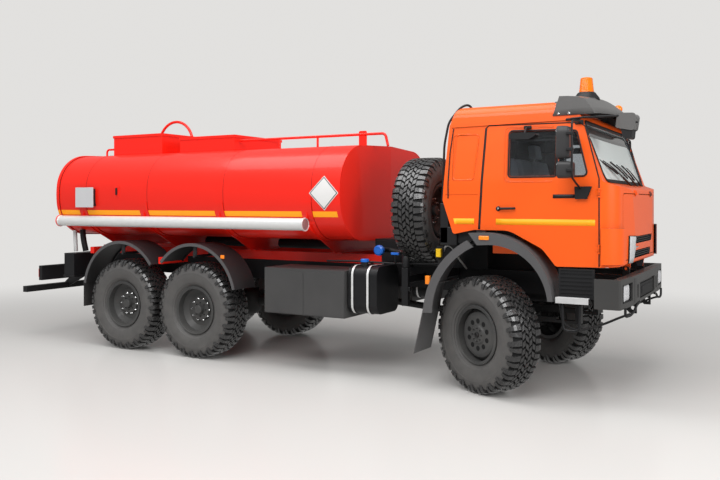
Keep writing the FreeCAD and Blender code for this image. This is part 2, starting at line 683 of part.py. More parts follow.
def swept(points, radius, bend):
    """A round tube along straight runs joined by arcs."""
    edges = []
    points = [Vector(*p) for p in points]
    last = points[0]
    for before, here, after in zip(points, points[1:], points[2:]):
        back, ahead = (before - here).normalize(), (after - here).normalize()
        half = back.getAngle(ahead) / 2
        reach = bend / math.tan(half)
        start, end = here + back * reach, here + ahead * reach
        middle = here + (back + ahead).normalize() * (bend / math.sin(half) - bend)
        edges += [Part.makeLine(last, start), Part.Arc(start, middle, end).toShape()]
        last = end
    edges.append(Part.makeLine(last, points[-1]))
    path = Part.Wire(edges)
    way = (points[1] - points[0]).normalize()
    circle = Part.Wire(Part.makeCircle(radius, points[0], way))
    return path.makePipeShell([circle], True, True)


def handrails():
    """Bent tube rails along the tank's top with their posts, and the tall hoop at the far side."""
    x, top, rise, side = numbers(AXLE, "tank_top", "rail_rise", "handrail_side")
    long_rail = swept([(x - 3930, -side, top + rise), (x - 1640, -side, top + rise),
                       (x - 1600, -side, top - 30)],
                      17, 60)
    posts = [Part.makeCylinder(15, rise + 30, Vector(x + place, -side, top - 30))
             for place in (-3257, -2644)]
    plate = pushed("xz",
                   rounded("xz",
                           [(x - 2018, top - 20, 0), (x - 1906, top - 20, 0),
                            (x - 1906, top + rise + 45, 20),
                                        (x - 2018, top + rise + 45, 20)]), -side - 5, -side + 5)
    pieces = [long_rail.fuse(posts + [plate])]
    for y in (-side, side):
        pieces.append(swept([(x - 6560, y, top - 30), (x - 6560, y, top + 90), (x - 6320, y, top + 90)], 15,
                            50))
    pieces.append(swept([(x - 6490, 620, top - 30), (x - 6490, 620, top + 600), (x - 5766, 620, top + 600),
                         (x - 5766, 620, top - 30)], 22, 360))
    lie = pushed("yz", tank_outline(value("seat")), value(at("tank_rear_at")),
                 value(at("tank_front_at")) + 20)
    node("handrails", *[feature(piece.cut(lie)) for piece in pieces])


handrails()


# ---------------------------------------------------------------- cab

def cab_side(inset):
    """The cab seen from the side: raked rear corner, crowned roof, raked screen, arched floor."""
    x, low, floor, belt, roof = numbers(AXLE, "cab_low", "cab_floor", "cab_belt", "cab_roof")
    rear, front = numbers("cab_rear_at", "cab_front_at")
    corners = [(rear + 125, floor - 50, 30), (rear, belt - 200, 40), (rear + 60, roof - 210, 60),
               (rear + 140, roof, 110), (300, roof + 30, 900), (650, roof - 2, 300), (930, roof - 140, 90),
               (1170, belt - 20, 40),
               (front - 12, belt - 80, 60), (front, low + 300, 60), (front - 32, low + 10, 40),
               (700, low, 40), (560, low + 175, 200), (200, floor, 300), (-190, floor, 30)]
    wire = rounded("xz", [(x + u, v, r) for u, v, r in corners])
    return wire.makeOffset2D(-inset) if inset else wire


def cab_plan(inset):
    """The cab seen from above: flat sides and back, a bowed front with round corners."""
    x, half, rear, front = numbers(AXLE, "cab_half + 6", "cab_rear_at - 165", "cab_front_at")
    corners = [(rear, -half, 60), (front - 77, -half, 210), (front + 3, -480, 900), (front + 3, 480, 900),
               (front - 77, half, 210), (rear, half, 60)]
    wire = rounded("xy", [(x + u, v, r) for u, v, r in corners])
    return wire.makeOffset2D(-inset) if inset else wire


def flanks(inset, top):
    """Across the cab: upright sides that lean in above the belt, under a crowned top or none."""
    half, low, belt, roof = numbers("cab_half", "cab_low - 400", "cab_belt", "cab_roof")
    crown = [(half - 70, roof - 5, 130), (0, roof + 45, 3000), (-half + 70, roof - 5, 130)]
    if not top:
        crown = [(half - 70, roof - 5, 130), (half - 90, roof + 240, 0), (-half + 90, roof + 240, 0),
                 (-half + 70, roof - 5, 130)]
    wire = rounded("yz",
                   [(-half, low, 0), (half, low, 0), (half, belt, 800)] + crown + [(-half, belt, 800)])
    return wire.makeOffset2D(-inset) if inset else wire


def cab_solid(inset):
    """What the three outlines share, drawn in by an inset."""
    x, low, roof, wide = numbers(AXLE, "cab_low - 200", "cab_roof + 240", "cab_half + 250")
    side = pushed("xz", cab_side(inset), -wide, wide)
    plan = pushed("xy", cab_plan(inset), low, roof)
    front = pushed("yz", flanks(inset, True), x - 900, x + 1600)
    return side.common(plan).common(front)


def between_walls(inset):
    """The space between the two side walls, taken in by an inset, over the cab's whole height."""
    x = value(AXLE)
    return pushed("yz", flanks(inset, False), x - 900, x + 1600)


def across(corners):
    """An outline in the cab's side view, pushed through both sides."""
    x, wide = numbers(AXLE, "cab_half + 250")
    return pushed("xz", rounded("xz", [(x + u, v, r) for u, v, r in corners]), -wide, wide)


def side_window(grow):
    sill, head = numbers("cab_belt + 50", "cab_belt + 510")
    return across([(205 - grow, sill - grow, 25), (690 + grow, sill - grow, 12),
                   (690 + grow, head + grow, 12), (205 - grow, head + 10 + grow, 30)])


def quarter_window(grow):
    sill, head = numbers("cab_belt + 50", "cab_belt + 510")
    return across([(722 - grow, sill - grow, 12), (1010 + grow, sill - grow, 30),
                   (895 + grow, head - 15 + grow, 25), (722 - grow, head + grow, 12)])


def ahead(corners, start, end):
    """An outline in the cab's front view, pushed from one place to another along the lorry."""
    x = value(AXLE)
    return pushed("yz", rounded("yz", corners), x + start, x + end)


def rear_opening(grow):
    low, high, start = numbers("cab_belt + 70", "cab_belt + 440", "cab_rear_at - 150")
    wide, low, high = 550 + grow, low - grow, high + grow
    return ahead([(-wide, low, 50), (wide, low, 50), (wide, high, 50), (-wide, high, 50)], start,
                 start + 400)


def screen_opening(grow):
    low, high, half = numbers("screen_low", "screen_top", "cab_half")
    bottom, top, low, high = half - 165 + grow, half - 102 + grow, low - grow, high + grow
    return ahead([(-bottom, low, 90), (bottom, low, 90), (top, high, 80), (-top, high, 80)], 700, 1500)


def panel_outline(grow):
    low, high, half = numbers("panel_low", "panel_top", "cab_half - 250")
    half, low, high = half + grow, low - grow, high + grow
    return ahead([(-half, low, 40), (half, low, 40), (half, high, 40), (-half, high, 40)], 1210, 1500)


def slots():
    """The two air slots through the front panel."""
    low, half = numbers("panel_low", "cab_half - 660")
    return [ahead([(-half, low + z, 25), (half, low + z, 25), (half, low + z + 78, 25),
                   (-half, low + z + 78, 25)],
                  1210, 1500) for z in (0, 150)]


def door_outline(grow):
    rear, front, lean, low, belt = numbers("door_rear_at", "door_front_at", "door_lean", "cab_low",
                                           "cab_belt")
    return across([(rear - grow, low - 100, 0), (front + grow, low - 100, 0), (front + grow, belt + 10, 60),
                   (front - 158 + grow, belt + 582 + grow, 60),
                   (rear + lean - grow, belt + 600 + grow, 60)])


def corner_vanes():
    """Air vanes that stand off the cab's front corners, open towards the middle."""
    x, low, inner, wide = numbers(AXLE, "cab_low", "cab_half - 225", "cab_half + 200")
    skin = cab_solid(-34).cut(cab_solid(-20))
    full = cab_solid(-34).cut(cab_solid(-1))
    vanes = []
    for side in (-1, 1):
        def piece(solid, x0, x1, z0, z1, y0=inner):
            y = sorted((side * y0, side * wide))
            return solid.common(Part.makeBox(x1 - x0, y[1] - y[0], z1 - z0, Vector(x + x0, y[0], low + z0)))
        vanes.append(piece(skin, 1160, 1500, 35, 395).fuse([piece(full, 1160, 1500, 35, 47),
                                                            piece(full, 1160, 1500, 383, 395),
                                                            piece(full, 1160, 1176, 35, 395, inner + 150)]))
    return vanes


def cab():
    x, wall, inset, glass, gap, seat = numbers(AXLE, "cab_wall", "glass_in", "glass_thick", "gap", "seat")
    low, floor, belt, roof, half, front = numbers("cab_low", "cab_floor", "cab_belt", "cab_roof",
                                                  "cab_half",
                                                  "cab_front_at")
    pressing = across([(-445, belt + 15, 25), (-150, belt + 15, 25), (-140, belt + 508, 25),
                       (-440, belt + 508, 25)])
    crease = across([(-520, belt - 146, 0), (-140, belt - 146, 0), (-140, belt - 136, 0),
                     (-520, belt - 136, 0)])
    outer = cab_solid(0).cut([pressing.cut(between_walls(6)), crease.cut(between_walls(4))])
    inner = cab_solid(wall)
    hollow = outer.cut(inner)
    glaze = cab_solid(inset).cut(cab_solid(inset + glass))
    doorway = door_outline(gap).cut(between_walls(wall + gap))
    leaf = door_outline(0).common(outer).cut(between_walls(wall))
    windows = [side_window(0), quarter_window(0)]
    panes = [side_window(-seat), quarter_window(-seat)]
    gutter = across([(-465, roof - 224, 0), (940, roof - 204, 0), (940, roof - 190, 0),
                     (-465, roof - 210, 0)])
    gutter = gutter.common(cab_solid(-14)).cut(between_walls(6))
    bulkhead = Part.makeBox(16, 2 * half + 100, 900, Vector(x + value("bulkhead_at"), -half - 50, low))
    shell = hollow.cut([doorway, screen_opening(0), rear_opening(0), panel_outline(value("panel_gap"))])
    pieces = [gutter, bulkhead.common(cab_solid(wall / 2))] + corner_vanes()
    leaves = {}
    for word, side in (("right", -1), ("left", 1)):
        eyes = []
        for z in (low + 190, belt - 130):
            fixed, moving = knuckles((x + value("door_front_at") + gap / 2, side * (half + 10), z),
                                     (0, 0, 1),
                                     (33, -14 * side, 0), (-37, -14 * side, 0))
            pieces.append(fixed)
            eyes.append(moving)
        half_space = Part.makeBox(4000, 2000, 4000, Vector(x - 2000, min(0, 2000 * side), 0))
        door = leaf.common(half_space).cut(windows)
        leaves[word] = door.fuse(eyes)
        pair = [feature(glaze.common(p).common(half_space)) for p in panes]
        node("door_glass_" + word, *pair)
    panel = hollow.common(panel_outline(0)).cut(slots())
    z = value("panel_top + panel_gap/2")
    for y in (-450, 450):
        fixed, moving = knuckles((x + front + 6, y, z), (0, 1, 0), (-22, 0, 40), (-24, 0, -40))
        pieces.append(fixed)
        panel = panel.fuse(moving)
    lugs = []
    for low_y, start in (("-rail_outer + ear + 9", "-rail_outer"),
                         ("rail_outer - ear - 29", "rail_outer - ear - 29")):
        lugs.append(slab("xz", [(at("cab_hinge_at - 60"), "cab_low + cab_wall - 4"),
                                (at("cab_hinge_at - 30"), "cab_hinge_height - 26"),
                                (at("cab_hinge_at + 30"), "cab_hinge_height - 26"),
                                (at("cab_hinge_at + 50"), "cab_low + cab_wall - 4")],
                         low_y, "%s + 20" % low_y))
        lugs.append(rod("y", (at("cab_hinge_at"), start, "cab_hinge_height"), "pin_radius", "ear + 29"))
    node("cab_shell", fuse(feature(shell.fuse(pieces)), *lugs))
    node("cab_glass", feature(glaze.common(screen_opening(-seat))),
         feature(glaze.common(rear_opening(-seat))))
    node("front_panel", feature(panel))
    for word, door in leaves.items():
        node("door_" + word, feature(door))


cab()


def seats():
    """Driver's and passengers' seats with the bunk behind them."""
    parts = []
    floor = "cab_floor + cab_wall"
    for low, high in (("-900", "-350"), ("-250", "200"), ("350", "900")):
        cushion = slab("xz",
                       [(at("60"), floor + " + 48"), (at("540"), floor + " + 28"),
                        (at("560"), floor + " + 158"),
                              (at("60"), floor + " + 148")], low, high)
        back = slab("xz",
                    [(at("30"), floor + " + 123"), (at("130"), floor + " + 138"),
                     (at("20"), floor + " + 758"),
                           (at("-90"), floor + " + 758")], low, high)
        foot = block((at("120"), at("380")), ("%s + 60" % low, "%s - 60" % high),
                     (floor + " + seat", floor + " + 50"))
        parts.append(fuse(cushion, back, foot))
    bunk = block((at("cab_rear_at + 155"), at("-150")), ("-cab_half + 70", "cab_half - 70"),
                 (floor + " + seat", floor + " + 218"))
    node("seats", *parts, bunk)


seats()


def ring(centre, turn, big, small):
    torus = doc.addObject("Part::Torus", "ring")
    torus.Placement = Placement(Vector(), turn)
    for axis, text in zip("xyz", centre):
        bind(torus, "Placement.Base." + axis, text)
    bind(torus, "Radius1", big)
    bind(torus, "Radius2", small)
    return torus


def dashboard():
    """Dashboard across the cab, with the steering column, its wheel and spokes."""
    back = at("bulkhead_at - seat")
    desk = slab("xz", [(at("1010"), "cab_low + 300"), (back, "cab_low + 300"), (back, "cab_low + 740"),
                       (at("1140"), "cab_low + 795"), (at("1000"), "cab_low + 770"),
                       (at("960"), "cab_low + 680"),
                       (at("1010"), "cab_low + 580")], "-cab_half + 110", "cab_half - 110")
    tilt = Rotation(Vector(0, 1, 0), -25)
    hub = Vector(value(at("800")), 620, value("cab_low + 830"))
    column = feature(Part.makeCylinder(28, 300, hub, Vector(0.906, 0, -0.55)))
    rim = ring((at("800"), "620", "cab_low + 830"), tilt, "230", "15")
    spokes = [feature(Part.makeCylinder(12, 460, hub - tilt.multVec(way) * 230, tilt.multVec(way)))
              for way in (Vector(0, 1, 0), Vector(1, 0, 0))]
    node("dashboard", fuse(desk, column, rim, *spokes))


dashboard()


def housing(xs, ys, zs, radius):
    """A mirror's shell: an upright rounded box, deeper at its middle."""
    (x0, x1), (y0, y1), (z0, z1) = xs, ys, zs
    face = pushed("yz",
                  rounded("yz", [(y0, z0, radius), (y1, z0, radius), (y1, z1, radius), (y0, z1, radius)]),
                  x0, x1)
    middle = (z0 + z1) / 2
    side = pushed("xz", rounded("xz", [(x0, z0, 0), (x1 - 25, z0, 30), (x1, middle, 400), (x1 - 25, z1, 30),
                                       (x0, z1, 0)]), y0, y1)
    return face.common(side)


def mirrors():
    """Door mirrors: two heads on an upright tube, its arms and foot on the door, and a kerb mirror."""
    x, half, low, reach = numbers(AXLE, "cab_half", "cab_low", "cab_half + 315")
    skin = cab_solid(-value("seat"))
    for word, side in (("right", -1), ("left", 1)):
        def y(a, b):
            return sorted((side * a, side * b))

        def box(xs, ys, zs):
            y0, y1 = y(*ys)
            return Part.makeBox(xs[1] - xs[0], y1 - y0, zs[1] - zs[0], Vector(x + xs[0], y0, low + zs[0]))
        heads = [housing((x + 825, x + 905), y(half + 140, reach), (low + 1080, low + 1440), 35),
                 housing((x + 825, x + 900), y(half + 140, reach), (low + 870, low + 1055), 30)]
        tube = swept([(x + 940, side * (half + 20), low + 770), (x + 905, side * (half + 200), low + 840),
                      (x + 905, side * (half + 200), low + 1450),
                      (x + 915, side * (half - 120), low + 1462)], 11, 60)
        foot = pushed("xz",
                      rounded("xz",
                              [(x + 895, low + 705, 15), (x + 1010, low + 705, 15),
                               (x + 1045, low + 815, 15),
                                           (x + 895, low + 815, 15)]), *y(half + value("seat"), half + 40))
        one = tube.fuse(heads + [foot]).cut(skin)
        kerb = pushed("xz",
                      rounded("xz",
                              [(x + 235, low + 1340, 20), (x + 560, low + 1340, 20),
                               (x + 520, low + 1405, 25),
                                           (x + 275, low + 1405, 25)]), *y(half + 25, half + 185))
        arm = swept([(x + 400, side * (half - 110), low + 1425), (x + 400, side * (half + 40), low + 1415),
                     (x + 400, side * (half + 100), low + 1380)], 10, 40)
        node("mirror_" + word, feature(one), feature(kerb.fuse(arm).cut(skin)))


mirrors()


def roof_fairing():
    """Roof hood over the screen that carries the beacons, and the front mirror on its arm."""
    x, half, roof, seat = numbers(AXLE, "cab_half", "cab_roof", "seat")
    side = [(680, roof - 148, 0), (735, roof + 130, 60), (930, roof + 120, 100), (1105, roof - 152, 20),
            (1010, roof - 192, 0), (900, roof - 162, 0)]
    hood = pushed("xz", rounded("xz", [(x + u, v, r) for u, v, r in side]), -half, half)
    plan = pushed("xy", rounded("xy", [(x + 600, -half + 60, 0), (x + 1000, -half + 60, 120),
                                       (x + 1110, -half + 420, 400), (x + 1130, 0, 1500),
                                       (x + 1110, half - 420, 400),
                                       (x + 1000, half - 60, 120), (x + 600, half - 60, 0)]), roof - 300,
                  roof + 300)
    front = pushed("yz", rounded("yz", [(-half + 50, roof - 300, 0), (half - 50, roof - 300, 0),
                                        (half - 50, roof + 45, 130), (0, roof + 112, 1500),
                                        (-half + 50, roof + 45, 130)]), x + 600, x + 1200)
    mount = Part.makeCone(105, 74, 95, Vector(x + 868, -560, roof + 40))
    hood = hood.common(plan).common(front).fuse(mount).cut(cab_solid(-seat))
    arm = swept([(x + 760, -half + 47, roof - 140), (x + 1060, -half + 50, roof - 150),
                 (x + 1340, -870, roof - 205)], 11, 100)
    head = pushed("xz", rounded("xz", [(x + 1290, roof - 325, 15), (x + 1420, roof - 325, 25),
                                       (x + 1460, roof - 165, 25), (x + 1290, roof - 150, 15)]), -985, -745)
    glass = pushed("xz", rounded("xz", [(x + 1310, roof - 415, 10), (x + 1390, roof - 415, 20),
                                        (x + 1410, roof - 320, 0), (x + 1300, roof - 320, 0)]), -955, -775)
    node("roof_fairing", feature(hood.fuse([arm, head, glass]).cut(cab_solid(-seat))))
    near = Part.makeCone(66, 53, 160, Vector(x + 868, -560, roof + 135 + seat))
    far = Part.makeCylinder(48, 300, Vector(x + 952, 650, roof - 165)).cut(
        [hood, hood.translated(Vector(0, 0, seat)), cab_solid(-seat)])
    node("beacons", feature(near), feature(max(far.Solids, key=lambda solid: solid.BoundBox.ZMax)))


roof_fairing()


# ---------------------------------------------------------------- mudguards

def cab_fenders():
    """The arch trims on the cab: a flat outer lip and a sheet that reaches inboard."""
    lip = [(at("-118"), "1600"), (at("-26"), "1605", "-620"), (at("641"), "1050"),
           (at("694"), "1050", "720"),
           (at("-26"), "1735"), (at("-215"), "1728")]
    sheet_run = [(at("-207"), "1719"), (at("-26"), "1727", "-712"), (at("686"), "1050"),
                 (at("694"), "1050", "720"),
                 (at("-26"), "1735"), (at("-215"), "1728")]
    one = fuse(slab("xz", lip, "-body_half", "-body_half + 90"),
               slab("xz", sheet_run, "-body_half", "-body_half + 430"),
               block((at("-170"), at("-70")), ("-body_half + 130", "-body_half + 400"),
                     ("1722", "1760 - seat")))
    node("cab_fenders", *both(one))


def chassis_fenders():
    """The rear halves of the front mudguards, on the frame, each with its flap."""
    lip = [(at("-230"), "1650", "970"), (at("-748"), "841"), (at("-640"), "845", "-820"),
           (at("-160"), "1580")]
    sheet_run = [(at("-230"), "1650", "970"), (at("-748"), "841"), (at("-739"), "841", "-961"),
                 (at("-225"), "1641")]
    flap = [(at("-748"), "880"), (at("-862"), "380"), (at("-854"), "380"), (at("-740"), "880")]
    one = fuse(slab("xz", lip, "-body_half", "-body_half + 20"),
               slab("xz", sheet_run, "-body_half", "-body_half + 450"),
               slab("xz", flap, "-body_half", "-body_half + 450"),
               rod("y", (at("-671"), "-body_half + 200", "1160"), "16",
                   "body_half - 200 - rail_outer - seat"))
    node("chassis_fenders", *both(one))


def rear_fenders():
    """Half-round guards over the rear wheels, with lips, tube stays and a flap behind."""
    shells = []
    radius = "740"
    for place, start, end in ((REAR, 36, 171), (MIDDLE, 13, 140)):
        def point(r, angle):
            return ("%s + (%s)*cos(%d)" % (place, r, angle),
                    "tyre_radius + 150 + (%s)*sin(%d)" % (r, angle))

        def band(thick):
            return [point(radius, start) + (radius,), point(radius, end),
                    point("%s - %d" % (radius, thick), end) + ("-(%s - %d)" % (radius, thick),),
                    point("%s - %d" % (radius, thick), start)]
        shells.append(slab("xz", band(9), "-body_half", "-body_half + 430"))
        shells.append(slab("xz", band(42), "-body_half", "-body_half + 12"))
        shells.append(slab("xz", band(30), "-body_half + 418", "-body_half + 430"))
        stay = point(radius, 90)[0]
        shells.append(rod("y", (stay, "-body_half + 40", "1345"), "18",
                          "body_half - 40 - rail_outer - seat"))
        for y in ("-body_half + 60", "-body_half + 360"):
            shells.append(block(("%s - 30" % stay, "%s + 30" % stay), (y, y + " + 12"), ("1345", "1514")))
    flap = block(("%s - 738" % REAR, "%s - 728" % REAR), ("-body_half", "-body_half + 430"), ("560", "905"))
    one = fuse(*shells, flap)
    node("rear_fenders", *both(one))


cab_fenders()
chassis_fenders()
rear_fenders()


# ---------------------------------------------------------------- side and end fittings

def front_bumper():
    """Steel bumper with turned-back ends and lamp pockets, and the entry steps beside it."""
    x, low, top, inner, half = numbers(AXLE, "bumper_low", "bumper_top", "bumper_inner", "body_half - 10")
    outline = rounded("xy",
                      [(x + 1105, -half, 0), (x + 1355, -half, 25), (x + 1398, -610, 500),
                       (x + 1398, 610, 500),
                             (x + 1355, half, 25), (x + 1105, half, 0), (x + 1105, half - 22, 0),
                             (x + inner, half - 22, 0), (x + inner, -half + 22, 0),
                       (x + 1105, -half + 22, 0)])
    beam = pushed("xy", outline, low, top)

    def pocket(y0, y1, z0, z1, depth, radius=15):
        wire = rounded("yz", [(y0, low + z0, radius), (y1, low + z0, radius), (y1, low + z1, radius),
                              (y0, low + z1, radius)])
        return pushed("yz", wire, x + depth, x + 1420)
    holes = [pocket(-450, 450, 40, 215, 1372)]
    for side in (-1, 1):
        y0, y1 = sorted((side * 780, side * 1140))
        holes.append(pocket(y0, y1, 55, 240, 1350))
        y0, y1 = sorted((side * 530, side * 590))
        holes.append(pocket(y0, y1, 60, 200, 1375))
    bevel = 14
    edge = rounded("xz",
                   [(x + 1000, low, 0), (x + 1390, low, bevel), (x + 1402, low + 40, 60),
                    (x + 1402, top - 40, 60),
                          (x + 1385, top, bevel), (x + 1000, top, 0)])
    node("front_bumper", feature(beam.common(pushed("xz", edge, -half - 50, half + 50)).cut(holes)))
    sides = []
    for side in (-1, 1):
        def y(a, b):
            return ("%s" % a, "%s" % b) if side > 0 else ("-(%s)" % b, "-(%s)" % a)
        panel = cut(block((at("735"), at("1088")), y("cab_half - 20", "cab_half + 20"),
                          ("cab_low - 315", "cab_low - 15")),
                    *[block((at("755"), at("1070")), y("cab_half + 12", "cab_half + 30"),
                            ("cab_low - %d" % z, "cab_low - %d" % (z - 18)))
                      for z in (280, 240, 200, 160, 120, 80, 50)])
        tread = cut(block((at("725"), at("1050")), y("cab_half - 20", "body_half - 5"),
                          ("cab_low - 355", "cab_low - 310")),
                    block((at("735"), at("1040")), y("cab_half + 22", "body_half - 15"),
                          ("cab_low - 318", "cab_low")))
        stay = block((at("1000"), at("1060")), y("rail_outer + seat", "cab_half - 10"),
                     ("rail_low + 90", "rail_low + 170"))
        out, up = side * value("body_half - 50"), value("cab_low - 340")
        stirrup = feature(swept([(x + 780, out, up), (x + 790, out, up - 295), (x + 950, out, up - 295),
                                 (x + 960, out, up)], 13, 50))
        sides.append(fuse(panel, tread, stay, stirrup))
    node("entry_steps", *sides)


front_bumper()


def side_boxes():
    """Fuel tanks with straps behind the cab, and equipment boxes behind them."""
    boxes = []
    for side in (-1, 1):
        def y(low, high):
            return (low, high) if side > 0 else ("-(%s)" % high, "-(%s)" % low)
        box = block((at("-2946"), at("-1785")), y("620", "1200"), ("690", "1250"))
        arms = [block((at(x), at(x + " + 60")), y("rail_outer + seat", "622"), ("1080", "1200"))
                for x in ("-2800", "-2000")]
        boxes.append(fuse(box, *arms))
    node("toolbox", *boxes)
    tanks = []
    x = value(AXLE)
    for side in (-1, 1):
        low, high = sorted((side * 600, side * 1150))
        section = rounded("yz", [(low, 750, 110), (high, 750, 110), (high, 1310, 110), (low, 1310, 110)])
        can = pushed("yz", section, x - 1765, x - 1380)
        straps = []
        for place in (-1705, -1500):
            grown = rounded("yz",
                            [(low, 750, 110), (high, 750, 110), (high, 1310, 110),
                             (low, 1310, 110)]).makeOffset2D(6)
            straps.append(pushed("yz", grown, x + place - 22, x + place + 22))
        cap = Part.makeCylinder(45, 50, Vector(x - 1600, side * 1040, 1305))
        inner = side * value("rail_outer + seat")
        low_y, high_y = sorted((inner, side * 605))
        arm = Part.makeBox(80, high_y - low_y, 160, Vector(x - 1620, low_y, 1040))
        tanks.append(feature(can.fuse(straps + [cap, arm])))
    node("fuel_tank", *tanks)


side_boxes()


def spare_wheel():
    """The spare wheel upright behind the cab, on a post with a spindle through its disc."""
    place = (at("spare_at"), "-550", "rail_top + 680")
    tyre = revolved("spare_tyre", tyre_section("0"))
    rim = revolved("spare_rim", rim_section(1, "0", "rear_disc", True))
    for body in (tyre, rim):
        body.Placement = Placement(Vector(), Rotation(Vector(0, 0, 1), -90))
        for axis, text in zip("xyz", place):
            bind(body, "Placement.Base." + axis, text)
        nodes[body.Label] = body
    post = block((at("-1300"), at("-1220")), ("-620", "-480"), ("rail_top + seat", "rail_top + 760"))
    foot = block((at("-1300"), at("-700")), ("-520", "-340"), ("rail_top + seat", "rail_top + 20"))
    arm = rod("x", (at("-1230"), "-550", "rail_top + 680"), "spindle_radius",
              "1230 + spare_at - rear_disc - seat")
    tie = block((at("-1300"), at("-1220")), ("-620", "-340"), ("rail_top + seat", "rail_top + 30"))
    node("spare_carrier", fuse(post, foot, arm, tie))


spare_wheel()


def rear_guard():
    """Lamp beam and underrun bar across the tail on brackets, and a casing beside each rail end."""
    beam = block((at("-7200"), at("-7130")), ("-body_half + 50", "body_half - 50"), ("880", "1100"))
    bar = block((at("-7570"), at("-7480")), ("-body_half + 50", "body_half - 50"), ("680", "770"))
    face = at("frame_rear_at - 12 - 2*seat")
    brackets = [slab("xz", [(at("-7570"), "770"), (at("-7490"), "700"), (face, "900"), (face, "1100"),
                            (at("-7140"), "1100")], low, high)
                for low, high in (("-420", "-405"), ("405", "420"))]
    casing = block((at("-6630"), at("-6420")), ("-body_half + 50", "-body_half + 450"), ("985", "1310"))
    foot = block((at("-6645"), at("-6405")), ("-body_half + 40", "-body_half + 460"), ("960", "985"))
    arm = block((at("-6560"), at("-6490")), ("-body_half + 440", "-rail_outer - seat"), ("1060", "1180"))
    node("rear_guard", fuse(beam, bar, *brackets), *both(fuse(casing, foot, arm)))


rear_guard()


# ---------------------------------------------------------------- check and write

doc.recompute()
faults = []
for thing in doc.Objects:
    if "Invalid" in thing.State or "Error" in thing.State:
        faults.append("%s: %s" % (thing.Label, thing.State))
for label, thing in nodes.items():
    if thing.Shape.isNull() or not thing.Shape.isValid() or not thing.Shape.Solids:
        faults.append("%s: no valid solid" % label)
if faults:
    raise RuntimeError("; ".join(faults))
os.makedirs("parts", exist_ok=True)
for label, thing in nodes.items():
    thing.Shape.exportStep(os.path.join("parts", label + ".step"))
print("%d nodes written" % len(nodes))
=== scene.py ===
"""Looks of a six-wheel-drive tanker truck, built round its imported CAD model."""
import json
import math

import bmesh
import bpy
import numpy as np
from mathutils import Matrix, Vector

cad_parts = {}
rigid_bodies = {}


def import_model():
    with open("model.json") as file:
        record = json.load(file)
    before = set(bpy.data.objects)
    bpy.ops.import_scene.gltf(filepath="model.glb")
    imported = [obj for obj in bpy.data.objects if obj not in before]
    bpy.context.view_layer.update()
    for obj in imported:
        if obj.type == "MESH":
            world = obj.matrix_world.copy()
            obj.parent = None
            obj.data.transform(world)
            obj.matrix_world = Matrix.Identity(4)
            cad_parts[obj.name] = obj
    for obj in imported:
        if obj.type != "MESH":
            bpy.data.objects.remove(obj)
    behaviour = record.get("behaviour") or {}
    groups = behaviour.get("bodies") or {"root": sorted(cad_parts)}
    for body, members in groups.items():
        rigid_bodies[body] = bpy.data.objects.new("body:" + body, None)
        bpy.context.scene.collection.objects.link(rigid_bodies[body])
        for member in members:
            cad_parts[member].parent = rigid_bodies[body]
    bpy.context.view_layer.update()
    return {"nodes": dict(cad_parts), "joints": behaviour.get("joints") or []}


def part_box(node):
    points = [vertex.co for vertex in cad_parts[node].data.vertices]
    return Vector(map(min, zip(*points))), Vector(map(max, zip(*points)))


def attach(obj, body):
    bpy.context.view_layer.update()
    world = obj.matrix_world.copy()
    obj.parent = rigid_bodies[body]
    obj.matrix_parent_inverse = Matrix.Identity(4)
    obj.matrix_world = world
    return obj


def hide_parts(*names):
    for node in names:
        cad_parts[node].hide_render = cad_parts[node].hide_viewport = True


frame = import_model()
joints = {joint["name"]: joint for joint in frame["joints"]}
front_x = joints["steer_right"]["pos_m"][0]
wheel_z = joints["steer_right"]["pos_m"][2]
sides = (("right", -1), ("left", 1))


# ---- Studio -------------------------------------------------------------------
# A pale painted floor that curves up into a wall, lit by the room and three large
# soft lamps. The camera stands off the truck's right front corner, level, a little
# above the bumper, and looks back along the tank.

def node(tree, kind, **values):
    """Adds one shader node and sets the inputs named by the keywords (spaces as underscores)."""
    made = tree.nodes.new(kind)
    for key, value in values.items():
        made.inputs[key.replace("_", " ")].default_value = value
    return made


def quads(rows, count, wrap_rows=False, wrap_columns=False):
    """Quads between neighbouring points of a grid, joined end to end where it wraps."""
    r = np.arange(rows if wrap_rows else rows - 1)[:, None]
    c = np.arange(count if wrap_columns else count - 1)[None]
    nr, nc = (r + 1) % rows, (c + 1) % count
    corners = r * count + c, nr * count + c, nr * count + nc, r * count + nc
    return np.stack(np.broadcast_arrays(*corners), -1).reshape(-1, 4)


def shaped(name, points, faces, material=None, crease=None):
    """One object of points and faces; edges that bend less than the crease angle are shaded smooth."""
    mesh = bpy.data.meshes.new(name)
    faces = faces if isinstance(faces, list) else faces.tolist()
    mesh.from_pydata(np.asarray(points, float).tolist(), [], faces)
    if material:
        mesh.materials.append(material)
    mesh.polygons.foreach_set("use_smooth", np.full(len(faces), crease is not None))
    if crease is not None:
        mesh.set_sharp_from_angle(angle=math.radians(crease))
    made = bpy.data.objects.new(name, mesh)
    bpy.context.scene.collection.objects.link(made)
    return made


